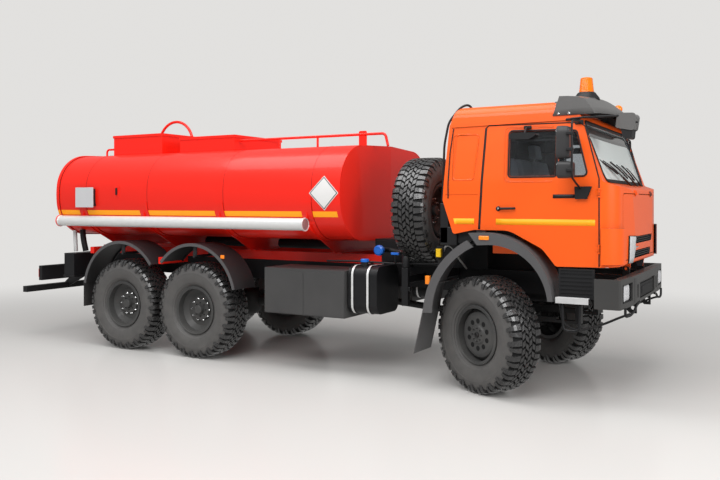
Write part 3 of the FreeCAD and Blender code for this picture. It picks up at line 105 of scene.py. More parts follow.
def studio_white(name, colour, shown, roughness):
    """Lit by the lamps near the truck; a plain pale surface far behind it, dimmer in mirrors and glass."""
    made = bpy.data.materials.new(name)
    made.use_nodes = True
    tree = made.node_tree
    body = tree.nodes["Principled BSDF"]
    body.inputs["Base Color"].default_value = (*colour, 1)
    body.inputs["Roughness"].default_value = roughness
    body.inputs["Specular IOR Level"].default_value = 0.35
    plain = node(tree, "ShaderNodeEmission", Color=(*shown, 1), Strength=1)
    paths = node(tree, "ShaderNodeLightPath")
    place = tree.nodes.new("ShaderNodeTexCoord")
    reach = tree.nodes.new("ShaderNodeVectorMath")
    reach.operation = "DISTANCE"
    reach.inputs[1].default_value = (1.0, -4.0, 0)
    tree.links.new(place.outputs["Object"], reach.inputs[0])
    far = node(tree, "ShaderNodeMapRange", From_Min=6.5, From_Max=15.0)
    far.interpolation_type = "SMOOTHSTEP"
    tree.links.new(reach.outputs["Value"], far.inputs["Value"])
    blend = node(tree, "ShaderNodeMixShader")
    last = far.outputs["Result"]
    for kind in ("Is Glossy Ray", "Is Transmission Ray"):
        either = node(tree, "ShaderNodeMath")
        either.operation = "MAXIMUM"
        tree.links.new(paths.outputs[kind], either.inputs[0])
        tree.links.new(last, either.inputs[1])
        last = either.outputs[0]
    tree.links.new(last, blend.inputs[0])
    level = node(tree, "ShaderNodeMapRange", To_Min=0.42, To_Max=1.0)
    tree.links.new(paths.outputs["Is Camera Ray"], level.inputs["Value"])
    tree.links.new(level.outputs["Result"], plain.inputs["Strength"])
    tree.links.new(body.outputs[0], blend.inputs[1])
    tree.links.new(plain.outputs[0], blend.inputs[2])
    tree.links.new(blend.outputs[0], tree.nodes["Material Output"].inputs["Surface"])
    return made


def sweep(half_width, near, far, bend, height):
    """Floor, quarter-circle cove and wall: the same outline at every place along X."""
    turn = np.linspace(0, np.pi / 2, 17)
    y = np.concatenate([[near], far + bend * np.sin(turn), [far + bend]])
    z = np.concatenate([[0], bend * (1 - np.cos(turn)), [height]])
    x = np.linspace(-half_width, half_width, 3)
    points = np.stack(np.broadcast_arrays(x[:, None], y[None], z[None]), -1)
    return points.reshape(-1, 3), quads(len(x), len(y))


pale = studio_white("studio_white", (0.66, 0.645, 0.625), (0.76, 0.75, 0.735), 0.22)
shaped("studio_floor", *sweep(40, -22, 11, 6, 22), pale, 180)

world = bpy.data.worlds.new("studio_room")
bpy.context.scene.world = world
world.use_nodes = True
backdrop = world.node_tree.nodes["Background"]
backdrop.inputs["Color"].default_value = (0.96, 0.98, 1.0, 1)
backdrop.inputs["Strength"].default_value = 0.36

for name, place, aim, size, power in (
        ("lamp_overhead", (0.0, -2.5, 9.5), (0.0, 0.0, 1.0), (13, 6), 780),
        ("lamp_side", (2.5, -11.5, 10.0), (-0.3, 0.0, 1.3), (13, 5), 1150),
        ("lamp_front", (13.0, -3.0, 5.5), (3.5, 0.0, 1.6), (6, 5), 620)):
    light = bpy.data.lights.new(name, "AREA")
    light.shape, light.size, light.size_y, light.energy = "RECTANGLE", size[0], size[1], power
    lamp = bpy.data.objects.new(name, light)
    bpy.context.scene.collection.objects.link(lamp)
    away = np.subtract(place, aim)
    lamp.location = place
    lamp.rotation_euler = (math.atan2(math.hypot(away[0], away[1]), away[2]), 0,
                           math.atan2(away[1], away[0]) + math.pi / 2)

view = bpy.data.cameras.new("camera")
view.lens, view.sensor_width, view.sensor_fit = 38.894, 36.0, "HORIZONTAL"
view.shift_y = -0.05085
view.clip_end = 200
camera = bpy.data.objects.new("camera", view)
camera.location = (5.973, -9.029, 2.045)
camera.rotation_euler = (math.radians(90), 0, math.radians(29.844))
bpy.context.scene.collection.objects.link(camera)
bpy.context.scene.camera = camera
bpy.context.scene.view_settings.view_transform = "Standard"


# ---- Paint, rubber and metal ---------------------------------------------------
# The truck is new: smooth gloss enamel on cab and tank, satin black on the frame,
# a little road dust low down. One group of nodes makes the uneven tone, the dust
# that thins out with height, and the fine dimples of a sprayed or moulded surface.

def weathered():
    """Colour, roughness and normal of a finish: mottled tone, dust below a height, fine dimples."""
    group = bpy.data.node_groups.new("weathered", "ShaderNodeTree")
    face = group.interface
    face.new_socket("Colour", in_out="INPUT", socket_type="NodeSocketColor")
    for label in ("Roughness", "Mottle", "Mottle Scale", "Dust", "Dust Height", "Dimple", "Dimple Scale"):
        face.new_socket(label, in_out="INPUT", socket_type="NodeSocketFloat")
    face.new_socket("Colour", in_out="OUTPUT", socket_type="NodeSocketColor")
    face.new_socket("Roughness", in_out="OUTPUT", socket_type="NodeSocketFloat")
    face.new_socket("Normal", in_out="OUTPUT", socket_type="NodeSocketVector")
    enter, leave = group.nodes.new("NodeGroupInput"), group.nodes.new("NodeGroupOutput")
    link = group.links.new

    def maths(kind, *values):
        made = group.nodes.new("ShaderNodeMath")
        made.operation = kind
        for socket, value in zip(made.inputs, values):
            if isinstance(value, (int, float)):
                socket.default_value = value
            else:
                link(value, socket)
        return made.outputs[0]

    place = group.nodes.new("ShaderNodeTexCoord").outputs["Object"]
    cloud = node(group, "ShaderNodeTexNoise", Detail=5.0, Roughness=0.6)
    link(place, cloud.inputs["Vector"])
    link(enter.outputs["Mottle Scale"], cloud.inputs["Scale"])
    fine = node(group, "ShaderNodeTexNoise", Detail=2.0)
    link(place, fine.inputs["Vector"])
    link(enter.outputs["Dimple Scale"], fine.inputs["Scale"])
    height = group.nodes.new("ShaderNodeSeparateXYZ")
    link(place, height.inputs[0])
    low = maths("SUBTRACT", 1.0, maths("DIVIDE", height.outputs["Z"], enter.outputs["Dust Height"]))
    low = maths("MAXIMUM", low, 0.0)
    swing = maths("SUBTRACT", cloud.outputs["Fac"], 0.5)
    cover = maths("MULTIPLY_ADD", swing, 2.4, 0.6)
    dust = maths("MULTIPLY", maths("MULTIPLY", low, cover), enter.outputs["Dust"])
    dust = maths("MINIMUM", maths("MAXIMUM", dust, 0.0), 1.0)
    tone = maths("MULTIPLY_ADD", swing, enter.outputs["Mottle"], 1.0)
    shade = group.nodes.new("ShaderNodeVectorMath")
    shade.operation = "SCALE"
    link(enter.outputs["Colour"], shade.inputs[0])
    link(tone, shade.inputs["Scale"])
    dusty = node(group, "ShaderNodeMix")
    dusty.data_type = "RGBA"
    link(dust, dusty.inputs["Factor"])
    link(shade.outputs[0], dusty.inputs["A"])
    dusty.inputs["B"].default_value = (0.30, 0.28, 0.25, 1)
    link(dusty.outputs["Result"], leave.inputs["Colour"])
    rough = maths("MULTIPLY_ADD", swing, enter.outputs["Mottle"], enter.outputs["Roughness"])
    link(maths("ADD", rough, maths("MULTIPLY", dust, 0.5)), leave.inputs["Roughness"])
    bump = node(group, "ShaderNodeBump", Distance=0.002)
    link(enter.outputs["Dimple"], bump.inputs["Strength"])
    link(fine.outputs["Fac"], bump.inputs["Height"])
    link(bump.outputs["Normal"], leave.inputs["Normal"])
    return group


skin_nodes = weathered()


def finish(name, colour, roughness, metallic=0.0, coat=0.0, mottle=0.12, mottle_scale=3.0, dust=0.0,
           dust_height=1.2, dimple=0.05, dimple_scale=400.0, **plain):
    """A material of this truck: the shared surface group into a Principled shader."""
    made = bpy.data.materials.new(name)
    made.use_nodes = True
    tree = made.node_tree
    body = tree.nodes["Principled BSDF"]
    body.inputs["Metallic"].default_value = metallic
    body.inputs["Coat Weight"].default_value = coat
    body.inputs["Coat Roughness"].default_value = 0.06
    body.inputs["Specular IOR Level"].default_value = 0.32
    for key, value in plain.items():
        body.inputs[key.replace("_", " ")].default_value = value
    group = tree.nodes.new("ShaderNodeGroup")
    group.node_tree = skin_nodes
    for key, value in (("Colour", (*colour, 1)), ("Roughness", roughness), ("Mottle", mottle),
                       ("Mottle Scale", mottle_scale), ("Dust", dust), ("Dust Height", dust_height),
                       ("Dimple", dimple), ("Dimple Scale", dimple_scale)):
        group.inputs[key].default_value = value
    tree.links.new(group.outputs["Colour"], body.inputs["Base Color"])
    tree.links.new(group.outputs["Roughness"], body.inputs["Roughness"])
    tree.links.new(group.outputs["Normal"], body.inputs["Normal"])
    return made


def wear(material, *names):
    """Gives CAD nodes a material."""
    for name in names:
        for holder in frame["nodes"][name].material_slots:
            holder.material = material


frame_black = finish("satin_black_enamel", (0.010, 0.010, 0.011), 0.40, dust=0.06)
casting_black = finish("painted_casting", (0.011, 0.011, 0.012), 0.55, dust=0.12, dimple=0.35, dimple_scale=160)
# Guard plastic: its grey is partly the plastic's own and partly a painted sheen of the guards' outward faces.
guard_plastic = finish("guard_plastic", (0.088, 0.086, 0.088), 0.34, dust=0.14, dimple=0.12)
black_plastic = finish("black_plastic", (0.012, 0.012, 0.013), 0.45, dimple=0.15)
bright_metal = finish("bright_metal", (0.78, 0.78, 0.78), 0.22, metallic=1.0, mottle=0.08, dimple=0.0)
amber = finish("amber_lens", (0.92, 0.20, 0.002), 0.18, coat=0.4, mottle=0.35, mottle_scale=40)


# ---- Tyres ----------------------------------------------------------------------
# Wide single off-road tyres of vulcanised rubber. The side walls bulge past the rim
# and carry two thin rings; the crown is cut into deep blocks, and its outer lugs run
# down over the shoulder. The floor between the blocks is near-black, painted shade in
# the grooves. They stand in for the plain CAD rings.

def gather(*parts):
    """One mesh's vertices and quads from several (vertices, faces) pairs."""
    starts = np.cumsum([0] + [len(v) for v, _ in parts[:-1]])
    return np.concatenate([v for v, _ in parts]), np.concatenate([f + s for (_, f), s in zip(parts, starts)])


def piece(name, shape, material, body, smooth=True, crease=35):
    """Makes one object of a (vertices, faces) pair and hangs it on a body of the model."""
    made = shaped(name, *shape, material, crease if smooth else None)
    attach(made, body)
    return made


def lay(centre, axle, y, r, turn):
    """Points at distance y along the axle and r from it, turned about it from straight ahead."""
    axle = np.asarray(axle, float) / np.linalg.norm(axle)
    ahead = np.cross(axle, (0, 0, 1.0) if abs(axle[2]) < 0.9 else (0, 1.0, 0))
    ahead /= np.linalg.norm(ahead)
    above = np.cross(ahead, axle)
    y, r, turn = np.broadcast_arrays(y, r, turn)
    return (np.asarray(centre) + y[..., None] * axle
            + (r * np.cos(turn))[..., None] * ahead + (r * np.sin(turn))[..., None] * above)


# Half sections (y, r): the wall from the bead to the crown, and the lugs' outer and inner edges.
tyre_wall = np.array([(0.150, 0.300), (0.150, 0.323), (0.158, 0.334), (0.163, 0.346), (0.169, 0.350),
                      (0.176, 0.348), (0.184, 0.362), (0.191, 0.372), (0.194, 0.370), (0.203, 0.398),
                      (0.209, 0.428), (0.2125, 0.462), (0.2115, 0.492), (0.2135, 0.494), (0.2105, 0.502),
                      (0.205, 0.530), (0.196, 0.560), (0.184, 0.584), (0.166, 0.598), (0.138, 0.604),
                      (0.080, 0.607), (0.028, 0.608)])
tyre_outline = np.concatenate([tyre_wall, tyre_wall[::-1] * (-1, 1)])
shoulder_out = np.array([(0.098, 0.6290), (0.152, 0.6265), (0.184, 0.616),
                         (0.205, 0.590), (0.2120, 0.558), (0.2128, 0.530)])
shoulder_in = np.array([(0.098, 0.600), (0.150, 0.596), (0.170, 0.588),
                        (0.184, 0.572), (0.194, 0.552), (0.204, 0.530)])
pitches = 24
tyre_steps = 96


def carcass(centre, axle):
    """The tyre's outline turned once round the axle."""
    turn = np.linspace(0, 2 * np.pi, tyre_steps + 1)[:-1]
    points = lay(centre, axle, tyre_outline[None, :, 0], tyre_outline[None, :, 1], turn[:, None])
    return points.reshape(-1, 3), quads(tyre_steps, len(tyre_outline), True, True)[:, ::-1]


def lugs(centre, axle, side, start, stations, width, skew):
    """Shoulder lugs: four-cornered bars from the crown over the shoulder, narrowing down the wall."""
    turn = (np.arange(pitches) + start) * 2 * np.pi / pitches
    outer, inner = shoulder_out[:stations], shoulder_in[:stations]
    half = width * np.linspace(1.0, 0.62, stations)
    lean = skew * np.linspace(0, 1, stations)
    y = np.stack([inner[:, 0], outer[:, 0], outer[:, 0], inner[:, 0]], 1) * side
    r = np.stack([inner[:, 1], outer[:, 1], outer[:, 1], inner[:, 1]], 1)
    edge = np.stack([-half * 1.12, -half, half, half * 1.12], 1) + lean[:, None]
    points = lay(centre, axle, y[None], r[None], turn[:, None, None] + edge[None])
    ring = quads(stations, 4, False, True)
    caps = np.array([[0, 1, 2, 3], [4 * stations - 1, 4 * stations - 2, 4 * stations - 3, 4 * stations - 4]])
    one = np.concatenate([ring, caps])[:, ::side]
    faces = (one[None] + (np.arange(pitches) * 4 * stations)[:, None, None]).reshape(-1, 4)
    return points.reshape(-1, 3), faces


def blocks(centre, axle, y0, start, count, size, skew, top=0.6300, foot=0.600):
    """Crown blocks: slanted four-sided lumps a little smaller at the top than at the foot."""
    turn = (np.arange(count) + start) * 2 * np.pi / count
    a, t = size
    corner_y = np.array([-a, a, a, -a])
    corner_t = np.array([-t, -t, t, t]) + np.sign(corner_y) * skew
    y = y0 + np.stack([corner_y * 1.08, corner_y], 0)
    edge = np.stack([corner_t * 1.08, corner_t], 0) / top
    crown = top - 0.35 * np.abs(y[1]) ** 2.2
    r = np.stack([np.full(4, foot), crown], 0)
    points = lay(centre, axle, y[None], r[None], turn[:, None, None] + edge[None])
    one = np.array([[0, 1, 2, 3], [7, 6, 5, 4], [0, 4, 5, 1], [1, 5, 6, 2], [2, 6, 7, 3], [3, 7, 4, 0]])
    faces = (one[None] + (np.arange(count) * 8)[:, None, None]).reshape(-1, 4)
    return points.reshape(-1, 3), faces[:, ::-1]


def tread(centre, axle):
    """All the blocks of one tyre: long and short shoulder lugs, and four rows across the crown."""
    parts = []
    for side, shift in ((1, 0.0), (-1, 0.5)):
        for start, stations, width, skew in ((0, 6, 0.050, 0.03), (0.5, 5, 0.041, -0.02)):
            parts.append(lugs(centre, axle, side, shift + start, stations, width, skew * side))
        for y, start, size, skew in ((0.070, 0.2, (0.0195, 0.0270), 0.012),
                                     (0.023, 0.6, (0.0185, 0.0275), -0.015)):
            parts.append(blocks(centre, axle, side * y, shift + start, pitches * 2, size, skew * side))
    return gather(*parts)


wall_rubber = finish("tyre_wall_rubber", (0.088, 0.085, 0.083), 0.46, mottle=0.25, mottle_scale=9, dust=0.10,
                     dust_height=1.6, dimple=0.10, dimple_scale=240)
tread_rubber = finish("tyre_tread_rubber", (0.030, 0.029, 0.029), 0.30, mottle=0.9, mottle_scale=45, dimple=0.9,
                      dimple_scale=70, Specular_IOR_Level=0.9, coat=0.25)
# Near-black rubber is painted shade: it is used for the tyres' groove floors, the disc behind each rim and the
# plugs in the front rims' holes.
rubber_painted_shade = finish("tyre_groove_rubber", (0.009, 0.009, 0.009), 0.75, mottle=0.5, mottle_scale=60)


def wheel_place(word):
    """Centre and axle of a wheel: the spin joint gives the line, the tyre's box the place on it."""
    joint = joints["spin_" + word]
    axle = np.array(joint["axis"], float)
    axle /= np.linalg.norm(axle)
    low, high = (np.array(c, float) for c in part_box(word + "_tyre"))
    middle = (low + high) / 2
    foot = np.array(joint["pos_m"], float)
    return foot + axle * np.dot(middle - foot, axle), axle


# Centre, axle and body of each wheel, by its name.
wheels = {}
for word in ("front_right", "front_left", "middle_right", "middle_left", "rear_right", "rear_left"):
    centre, axle = wheel_place(word)
    outward = axle if "left" in word else -axle
    wheels[word] = (centre, outward, "wheel_" + word)
low, high = (np.array(c, float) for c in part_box("spare_tyre"))
wheels["spare"] = ((low + high) / 2, np.array([1.0, 0, 0]), "chassis")

for word, (centre, axle, body) in wheels.items():
    wall = piece(word + "_tyre_wall", carcass(centre, axle), wall_rubber, body)
    wall.data.materials.append(rubber_painted_shade)
    # The wall's crown faces between the tread blocks take the near-black rubber, as painted shade in the
    # grooves.
    crown = np.abs(np.arange(len(tyre_outline)) - len(tyre_wall) + 0.5) < 5
    wall.data.polygons.foreach_set("material_index", np.tile(crown, tyre_steps).astype(int))
    piece(word + "_tyre_tread", tread(centre, axle), tread_rubber, body, False)
    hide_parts(word + "_tyre")


# ---- Rims and hubs ---------------------------------------------------------------
# Pressed steel rims in dark grey enamel, with a loose lock ring at the outer edge,
# ten bright nuts round each rear hub, a valve, and small screws on the hub cap. A
# near-black disc behind each rim's middle paints the shadow there, and near-black plugs
# in the front rims' holes paint the shade seen through them.

rim_enamel = finish("rim_enamel", (0.050, 0.050, 0.050), 0.42, coat=0.1, dust=0.14, dust_height=1.4)


pin = 0.0008


def cored(*outline):
    """A (y, r) outline closed down to the axis, where a turned piece keeps a hole as fine as a pin."""
    return [(outline[0][0], pin), *outline, (outline[-1][0], pin)]


def turned(centre, axle, outline, steps):
    """A closed outline of (y, r) turned round the axle."""
    outline = np.array(outline, float)
    turn = np.linspace(0, 2 * np.pi, steps + 1)[:-1]
    points = lay(centre, axle, outline[None, :, 0], outline[None, :, 1], turn[:, None])
    return points.reshape(-1, 3), quads(steps, len(outline), True, True)[:, ::-1]


def studs(centre, axle, count, ring, outline, sides, start=0.0):
    """Turned bolts on a ring: each stands parallel to the axle and ends in a point of its outline."""
    outline = np.array(outline, float)
    ahead = np.cross(axle, (0, 0, 1.0))
    parts = []
    for k in range(count):
        turn = (k + start) * 2 * np.pi / count
        place = centre + ring * (math.cos(turn) * ahead + math.sin(turn) * np.array([0, 0, 1.0]))
        parts.append(turned(place, axle, outline, sides))
    return gather(*parts)


# Closed outlines (y, r) of the lock ring and a wheel nut, and the outline of the valve.
lock_ring = [(0.150, 0.3005), (0.168, 0.3005), (0.1715, 0.305), (0.1715, 0.313), (0.168, 0.319), (0.160, 0.319),
             (0.157, 0.3125), (0.150, 0.3125)]
nut = [(-0.004, 0.002), (-0.004, 0.0155), (0.012, 0.0155), (0.014, 0.013), (0.014, 0.0085), (0.030, 0.0085),
       (0.034, 0.005), (0.034, 0.002)]
valve = [(0.045, 0.002), (0.045, 0.007), (0.095, 0.0055), (0.104, 0.007), (0.118, 0.007), (0.118, 0.002)]


def fitted(word, name, shape, material, smooth=False):
    """Hangs one part of a hub on its wheel."""
    piece("%s_%s" % (word, name), shape, material, wheels[word][2], smooth)


for word, (centre, axle, body) in wheels.items():
    front = word.startswith("front")
    disc = 0.118 if front else 0.010
    plate = [(disc - 0.052, 0.090), (disc - 0.030, 0.090), (disc - 0.030, 0.215), (disc - 0.052, 0.215)]
    # A near-black disc behind the rim's middle paints the shadow on the hub behind it.
    fitted(word, "dust_plate", turned(centre, axle, plate, 48), rubber_painted_shade, smooth=True)
    fitted(word, "lock_ring", turned(centre, axle, lock_ring, 96), rim_enamel, smooth=True)
    if front:
        base = disc + 0.026
        cap = [(y * 0.5 + base, r * 0.5) for y, r in nut]
        plug = [(base - 0.002, 0.004), (base - 0.002, 0.034), (base + 0.016, 0.031), (base + 0.020, 0.024),
                (base + 0.020, 0.020), (base + 0.012, 0.018), (base + 0.012, 0.004)]
        # Near-black plugs fill the front rim's holes, as painted shade seen through them.
        mouth = cored((disc - 0.004, 0.0275), (disc + 0.0155, 0.0275))
        fitted(word, "cap_screws", studs(centre, axle, 8, 0.068, cap, 6), casting_black)
        fitted(word, "disc_holes", studs(centre, axle, 10, 0.147, mouth, 20, 0.5), rubber_painted_shade)
        fitted(word, "hub_plug", turned(centre, axle, plug, 6), casting_black)
    else:
        bright = [(y + disc + 0.030, r) for y, r in nut]
        cap = [(y * 0.45 + disc + 0.044, r * 0.55) for y, r in nut]
        fitted(word, "wheel_nuts", studs(centre, axle, 10, 0.1455, bright, 6), bright_metal)
        fitted(word, "cap_screws", studs(centre, axle, 8, 0.092, cap, 6), casting_black)
    stem = studs(centre, axle, 1, 0.268, valve, 10, 0.36)
    fitted(word, "valve", stem, casting_black if front else bright_metal, True)
    wear(rim_enamel, word + "_rim")


# ---- Plain finishes of the CAD pieces ---------------------------------------------
# Satin black on the frame and its castings, grey on the box, moulded plastic on the
# guards. These pieces keep the shape that they have in the CAD model.

box_grey = finish("box_grey_enamel", (0.058, 0.057, 0.057), 0.42, mottle=0.2, dust=0.08, dimple=0.1)
guard_black = finish("guard_black", (0.026, 0.025, 0.026), 0.36, dust=0.12, dimple=0.12)
wear(frame_black, "chassis_frame", "spare_carrier", "rear_guard", "fuel_tank")
wear(box_grey, "toolbox")
wear(casting_black, "leaf_springs", "front_axle", "middle_axle", "rear_axle", "drive_line", "engine_block",
     "knuckle_right", "knuckle_left", "tie_rod")
wear(guard_plastic, "cab_fenders", "chassis_fenders")
wear(guard_black, "rear_fenders")
wear(black_plastic, "mirror_right", "mirror_left", "dashboard")
wear(amber, "beacons")


# ---- Tank ------------------------------------------------------------------------
# A welded steel tank in gloss red enamel. Weld seams ring it at each saddle as thin
# dark red bands, painted shade of their relief; a black seal lies under its rear flange,
# and a reflective strip with a faint painted glow runs along each side in lengths that
# stop at the saddle pads.

gloss_red = finish("red_enamel", (0.83, 0.016, 0.006), 0.36, coat=0.25, mottle=0.05, dimple=0.02,
                   dimple_scale=90)
# Dark red for the weld seam bands is painted shade of their relief, not a colour of the enamel.
seam_red_painted_shade = finish("red_enamel_in_seams", (0.20, 0.006, 0.005), 0.55, mottle=0.2, dimple=0.1)
# The strip's amber also glows faintly: a painted glow for its shine.
strip_amber = finish("reflective_strip", (0.98, 0.37, 0.006), 0.42, mottle=0.10, mottle_scale=30, dimple=0.25,
                     dimple_scale=520, Emission_Color=(0.98, 0.37, 0.006, 1), Emission_Strength=0.10)
seal_black = finish("rubber_seal", (0.012, 0.012, 0.013), 0.55, dimple=0.1)
plate_grey = finish("blank_plate_grey", (0.54, 0.54, 0.55), 0.45, mottle=0.08, mottle_scale=6)
plate_white = finish("blank_plate_white", (0.70, 0.69, 0.68), 0.38, mottle=0.04, mottle_scale=6)
wear(gloss_red, "tank", "hatch_lid_rear", "hatch_lid_front", "tank_cradle", "handrails")

shell = frame["nodes"]["tank"].data
tank_points = np.empty(len(shell.vertices) * 3)
shell.vertices.foreach_get("co", tank_points)
tank_points = tank_points.reshape(-1, 3)
manhole_foot = 2.3
tank_rear = tank_points[tank_points[:, 2] < manhole_foot, 0].min()


def tank_outline():
    """The tank's section, read from its flat rear end: points (y, z) in order round the middle."""
    end = tank_points[np.abs(tank_points[:, 0] - tank_rear) < 1e-4][:, 1:]
    end = np.unique(np.round(end, 5), axis=0)
    middle = np.array([0.0, (end[:, 1].min() + end[:, 1].max()) / 2])
    turn = np.arctan2(*(end - middle).T[::-1])
    return end[np.argsort(turn)]


tank_ring = tank_outline()


def tank_wall(z):
    """Distance from the tank's middle plane to its side at a height."""
    side = tank_ring[tank_ring[:, 0] > 0.5]
    side = side[np.argsort(side[:, 1])]
    return np.interp(z, side[:, 1], side[:, 0])


def band(low_x, high_x, stand, depth):
    """A hoop round the tank's section: the outline moved out by a stand, from one x to another."""
    along = np.roll(tank_ring, -1, 0) - np.roll(tank_ring, 1, 0)
    normal = np.stack([along[:, 1], -along[:, 0]], 1) / np.linalg.norm(along, axis=1)[:, None]
    grid = [np.column_stack([np.full(len(tank_ring), x), tank_ring + normal * out])
            for x, out in ((low_x, -depth), (low_x, stand), (high_x, stand), (high_x, -depth))]
    return np.stack(grid, 1).reshape(-1, 3), quads(len(tank_ring), 4, True, True)[:, ::-1]


def lath(x, z, side, stand, sink=0.004):
    """A thin strip on the tank's side between two x and two z: its face follows the wall."""
    height = np.linspace(z[0], z[1], 7)
    wall = tank_wall(height)
    face = np.stack([wall + stand, height], 1)
    back = np.stack([wall - sink, height], 1)[::-1]
    ring = np.concatenate([face, back]) * (side, 1)
    ends = [np.column_stack([np.full(len(ring), place), ring]) for place in x]
    count = len(ring)
    step = np.arange(count // 2 - 1)
    cap = np.stack([step, step + 1, count - 2 - step, count - 1 - step], 1)
    faces = np.concatenate([quads(2, count, False, True), cap[:, ::-1], cap + count])
    return np.concatenate(ends), faces[:, ::-side]


saddle_places = front_x + np.array([-6.230, -5.020, -3.680, -2.320])
strip_z = (1.880, 1.948)
tank_front = float(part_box("tank")[1][0]) - 0.045
runs = np.concatenate([[tank_rear + 0.068], np.ravel([(x - 0.078, x + 0.080) for x in saddle_places]),
                       [tank_front - 0.055]]).reshape(-1, 2)
for label, side in sides:
    piece("tank_strip_" + label, gather(*[lath(run, strip_z, side, 0.0022) for run in runs]), strip_amber,
          "chassis")
    flange = (tank_rear + 0.014, tank_rear + 0.058)
    piece("flange_strip_" + label, lath(flange, strip_z, side, 0.0182), strip_amber, "chassis")
piece("tank_seams", gather(*[band(x + 0.0775, x + 0.0825, 0.0016, 0.003) for x in saddle_places]), seam_red_painted_shade,
      "chassis")
piece("flange_seal", band(tank_rear + 0.061, tank_rear + 0.069, 0.003, 0.003), seal_black, "chassis")


def loft(path, rings, way=1):
    """Rings of points carried along a path, joined to a closed skin; way is -1 where they run backward."""
    points = np.asarray(rings, float) + np.asarray(path, float)[:, None]
    count, steps = points.shape[:2]
    first, last = list(range(steps)), list(range(count * steps - 1, (count - 1) * steps - 1, -1))
    faces = quads(count, steps, False, True)[:, ::-way].tolist() + [first[::way], last[::way]]
    return points.reshape(-1, 3), faces


def solid(name, shape, material, body, smooth=True):
    """A lofted piece, shaded smooth over a few degrees more than the others."""
    return piece(name, shape, material, body, smooth, 38)


def board(name, low, high, side, stand, thick, material):
    """A flat plate between two (x, z) corners, held a stand off the tank's side."""
    corners = np.array([low, (high[0], low[1]), high, (low[0], high[1])])
    wall = tank_wall(corners[:, 1].mean())
    face, back = (np.insert(corners, 1, side * (wall + out), axis=1) for out in (stand + thick, stand))
    count = len(corners)
    faces = [list(range(count)), list(range(2 * count - 1, count - 1, -1))]
    faces += [[k, k + count, (k + 1) % count + count, (k + 1) % count] for k in range(count)]
    made = piece(name, (np.concatenate([face, back]), faces), material, "chassis", False)
    bevel = made.modifiers.new("edge", "BEVEL")
    bevel.width, bevel.segments = min(0.002, thick * 0.4), 2


def lozenge(name, x, z, reach, side, stand, material):
    """A square stood on its corner, on the tank's side: rows from point to point that follow the wall."""
    height = np.linspace(-reach, reach, 33)
    width = np.maximum(reach - np.abs(height), 0.0005)[:, None] * np.array([-1.0, 1.0])
    wall = tank_wall(z + height)[:, None] + 0 * width
    face, back = (np.stack([x + width, side * (wall + out), z + height[:, None] + 0 * width], -1)
                  for out in (stand, -0.004))
    rings = np.concatenate([face, back[:, ::-1]], 1)
    solid(name, loft(np.zeros((len(rings), 3)), rings, side), material, "chassis", False)


for label, side in sides:
    for word, reach, stand, look in (("back", 0.206, 0.0026, plate_white),
                                     ("edge", 0.194, 0.0036, black_plastic),
                                     ("face", 0.181, 0.0046, plate_white)):
        lozenge("sign_%s_%s" % (word, label), front_x - 2.065, 2.168, reach, side, stand, look)
# Blank plates on the right side: one for a number, and the catch of a key switch.
for name, low, high, stand, thick, look in (
        ("number_board_right", (-6.310, 1.988), (-5.945, 2.275), 0.045, 0.010, plate_grey),
        ("number_board_box_right", (-6.290, 2.008), (-5.955, 2.255), -0.02, 0.066, black_plastic),
        ("key_catch_plate", (-5.560, 2.135), (-5.475, 2.285), -0.002, 0.010, gloss_red),
        ("key_catch", (-5.525, 2.165), (-5.503, 2.262), 0.007, 0.020, casting_black)):
    board(name, (front_x + low[0], low[1]), (front_x + high[0], high[1]), -1, stand, thick, look)


# ---- Hose tubes --------------------------------------------------------------------
# Each side carries a bright rolled-sheet tube that holds a suction hose. A flange and a
# flat cap close its front, and a hinged red cap with a hand knob closes its rear.

bright_sheet = finish("bright_sheet", (0.80, 0.80, 0.79), 0.30, metallic=0.35, mottle=0.10, mottle_scale=14,
                      dimple=0.06, dimple_scale=60, coat=0.3)
cap_metal = finish("dull_cap", (0.40, 0.30, 0.30), 0.38, metallic=0.5, mottle=0.2, mottle_scale=20)
wear(bright_sheet, "hose_tubes")
tube_low, tube_high = (np.array(c, float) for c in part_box("hose_tubes"))
r = (tube_high[2] - tube_low[2]) / 2
tube_z = (tube_high[2] + tube_low[2]) / 2
rim = [(-0.012, r - 0.004), (-0.012, r + 0.007), (0.006, r + 0.007), (0.006, r - 0.006), (-0.002, r - 0.009),
       (-0.002, r - 0.012)]
lid = [(-0.004, pin), (0.0035, pin), (0.0035, r * 0.45), (0.0025, r * 0.5), (0.0025, r - 0.010),
       (-0.004, r - 0.007)]
collar = [(0.004, r - 0.002), (0.004, r + 0.006), (0.020, r + 0.006), (0.022, r - 0.002)]
cap = [(0.003, pin), (0.003, r + 0.010), (-0.010, r + 0.012), (-0.016, r + 0.004), (-0.020, r * 0.6),
       (-0.026, r * 0.35), (-0.027, pin)]
knob = [(-0.020, pin), (-0.020, 0.009), (-0.052, 0.009), (-0.056, 0.020), (-0.074, 0.023), (-0.086, 0.016),
        (-0.088, pin)]
ahead = np.array([1.0, 0, 0])
for label, side in sides:
    y = side * (tube_high[1] - r)
    mouth, tail = np.array([tube_high[0], y, tube_z]), np.array([tube_low[0], y, tube_z])
    hand = tail + (0, -side * 0.02, 0.02)
    for name, place, outline, steps, look, slot in (
            ("front_rim", mouth, rim, 72, bright_sheet, "tank_steel"),
            ("front_cap", mouth, lid, 72, cap_metal, "tank_steel"),
            ("rear_collar", tail, collar, 72, bright_sheet, "tank_steel"),
            ("rear_cap", tail, cap, 72, gloss_red, "red"),
            ("rear_knob", hand, knob, 32, gloss_red, "red")):
        piece("tube_%s_%s" % (name, label), turned(place, ahead, outline, steps), look, "chassis")
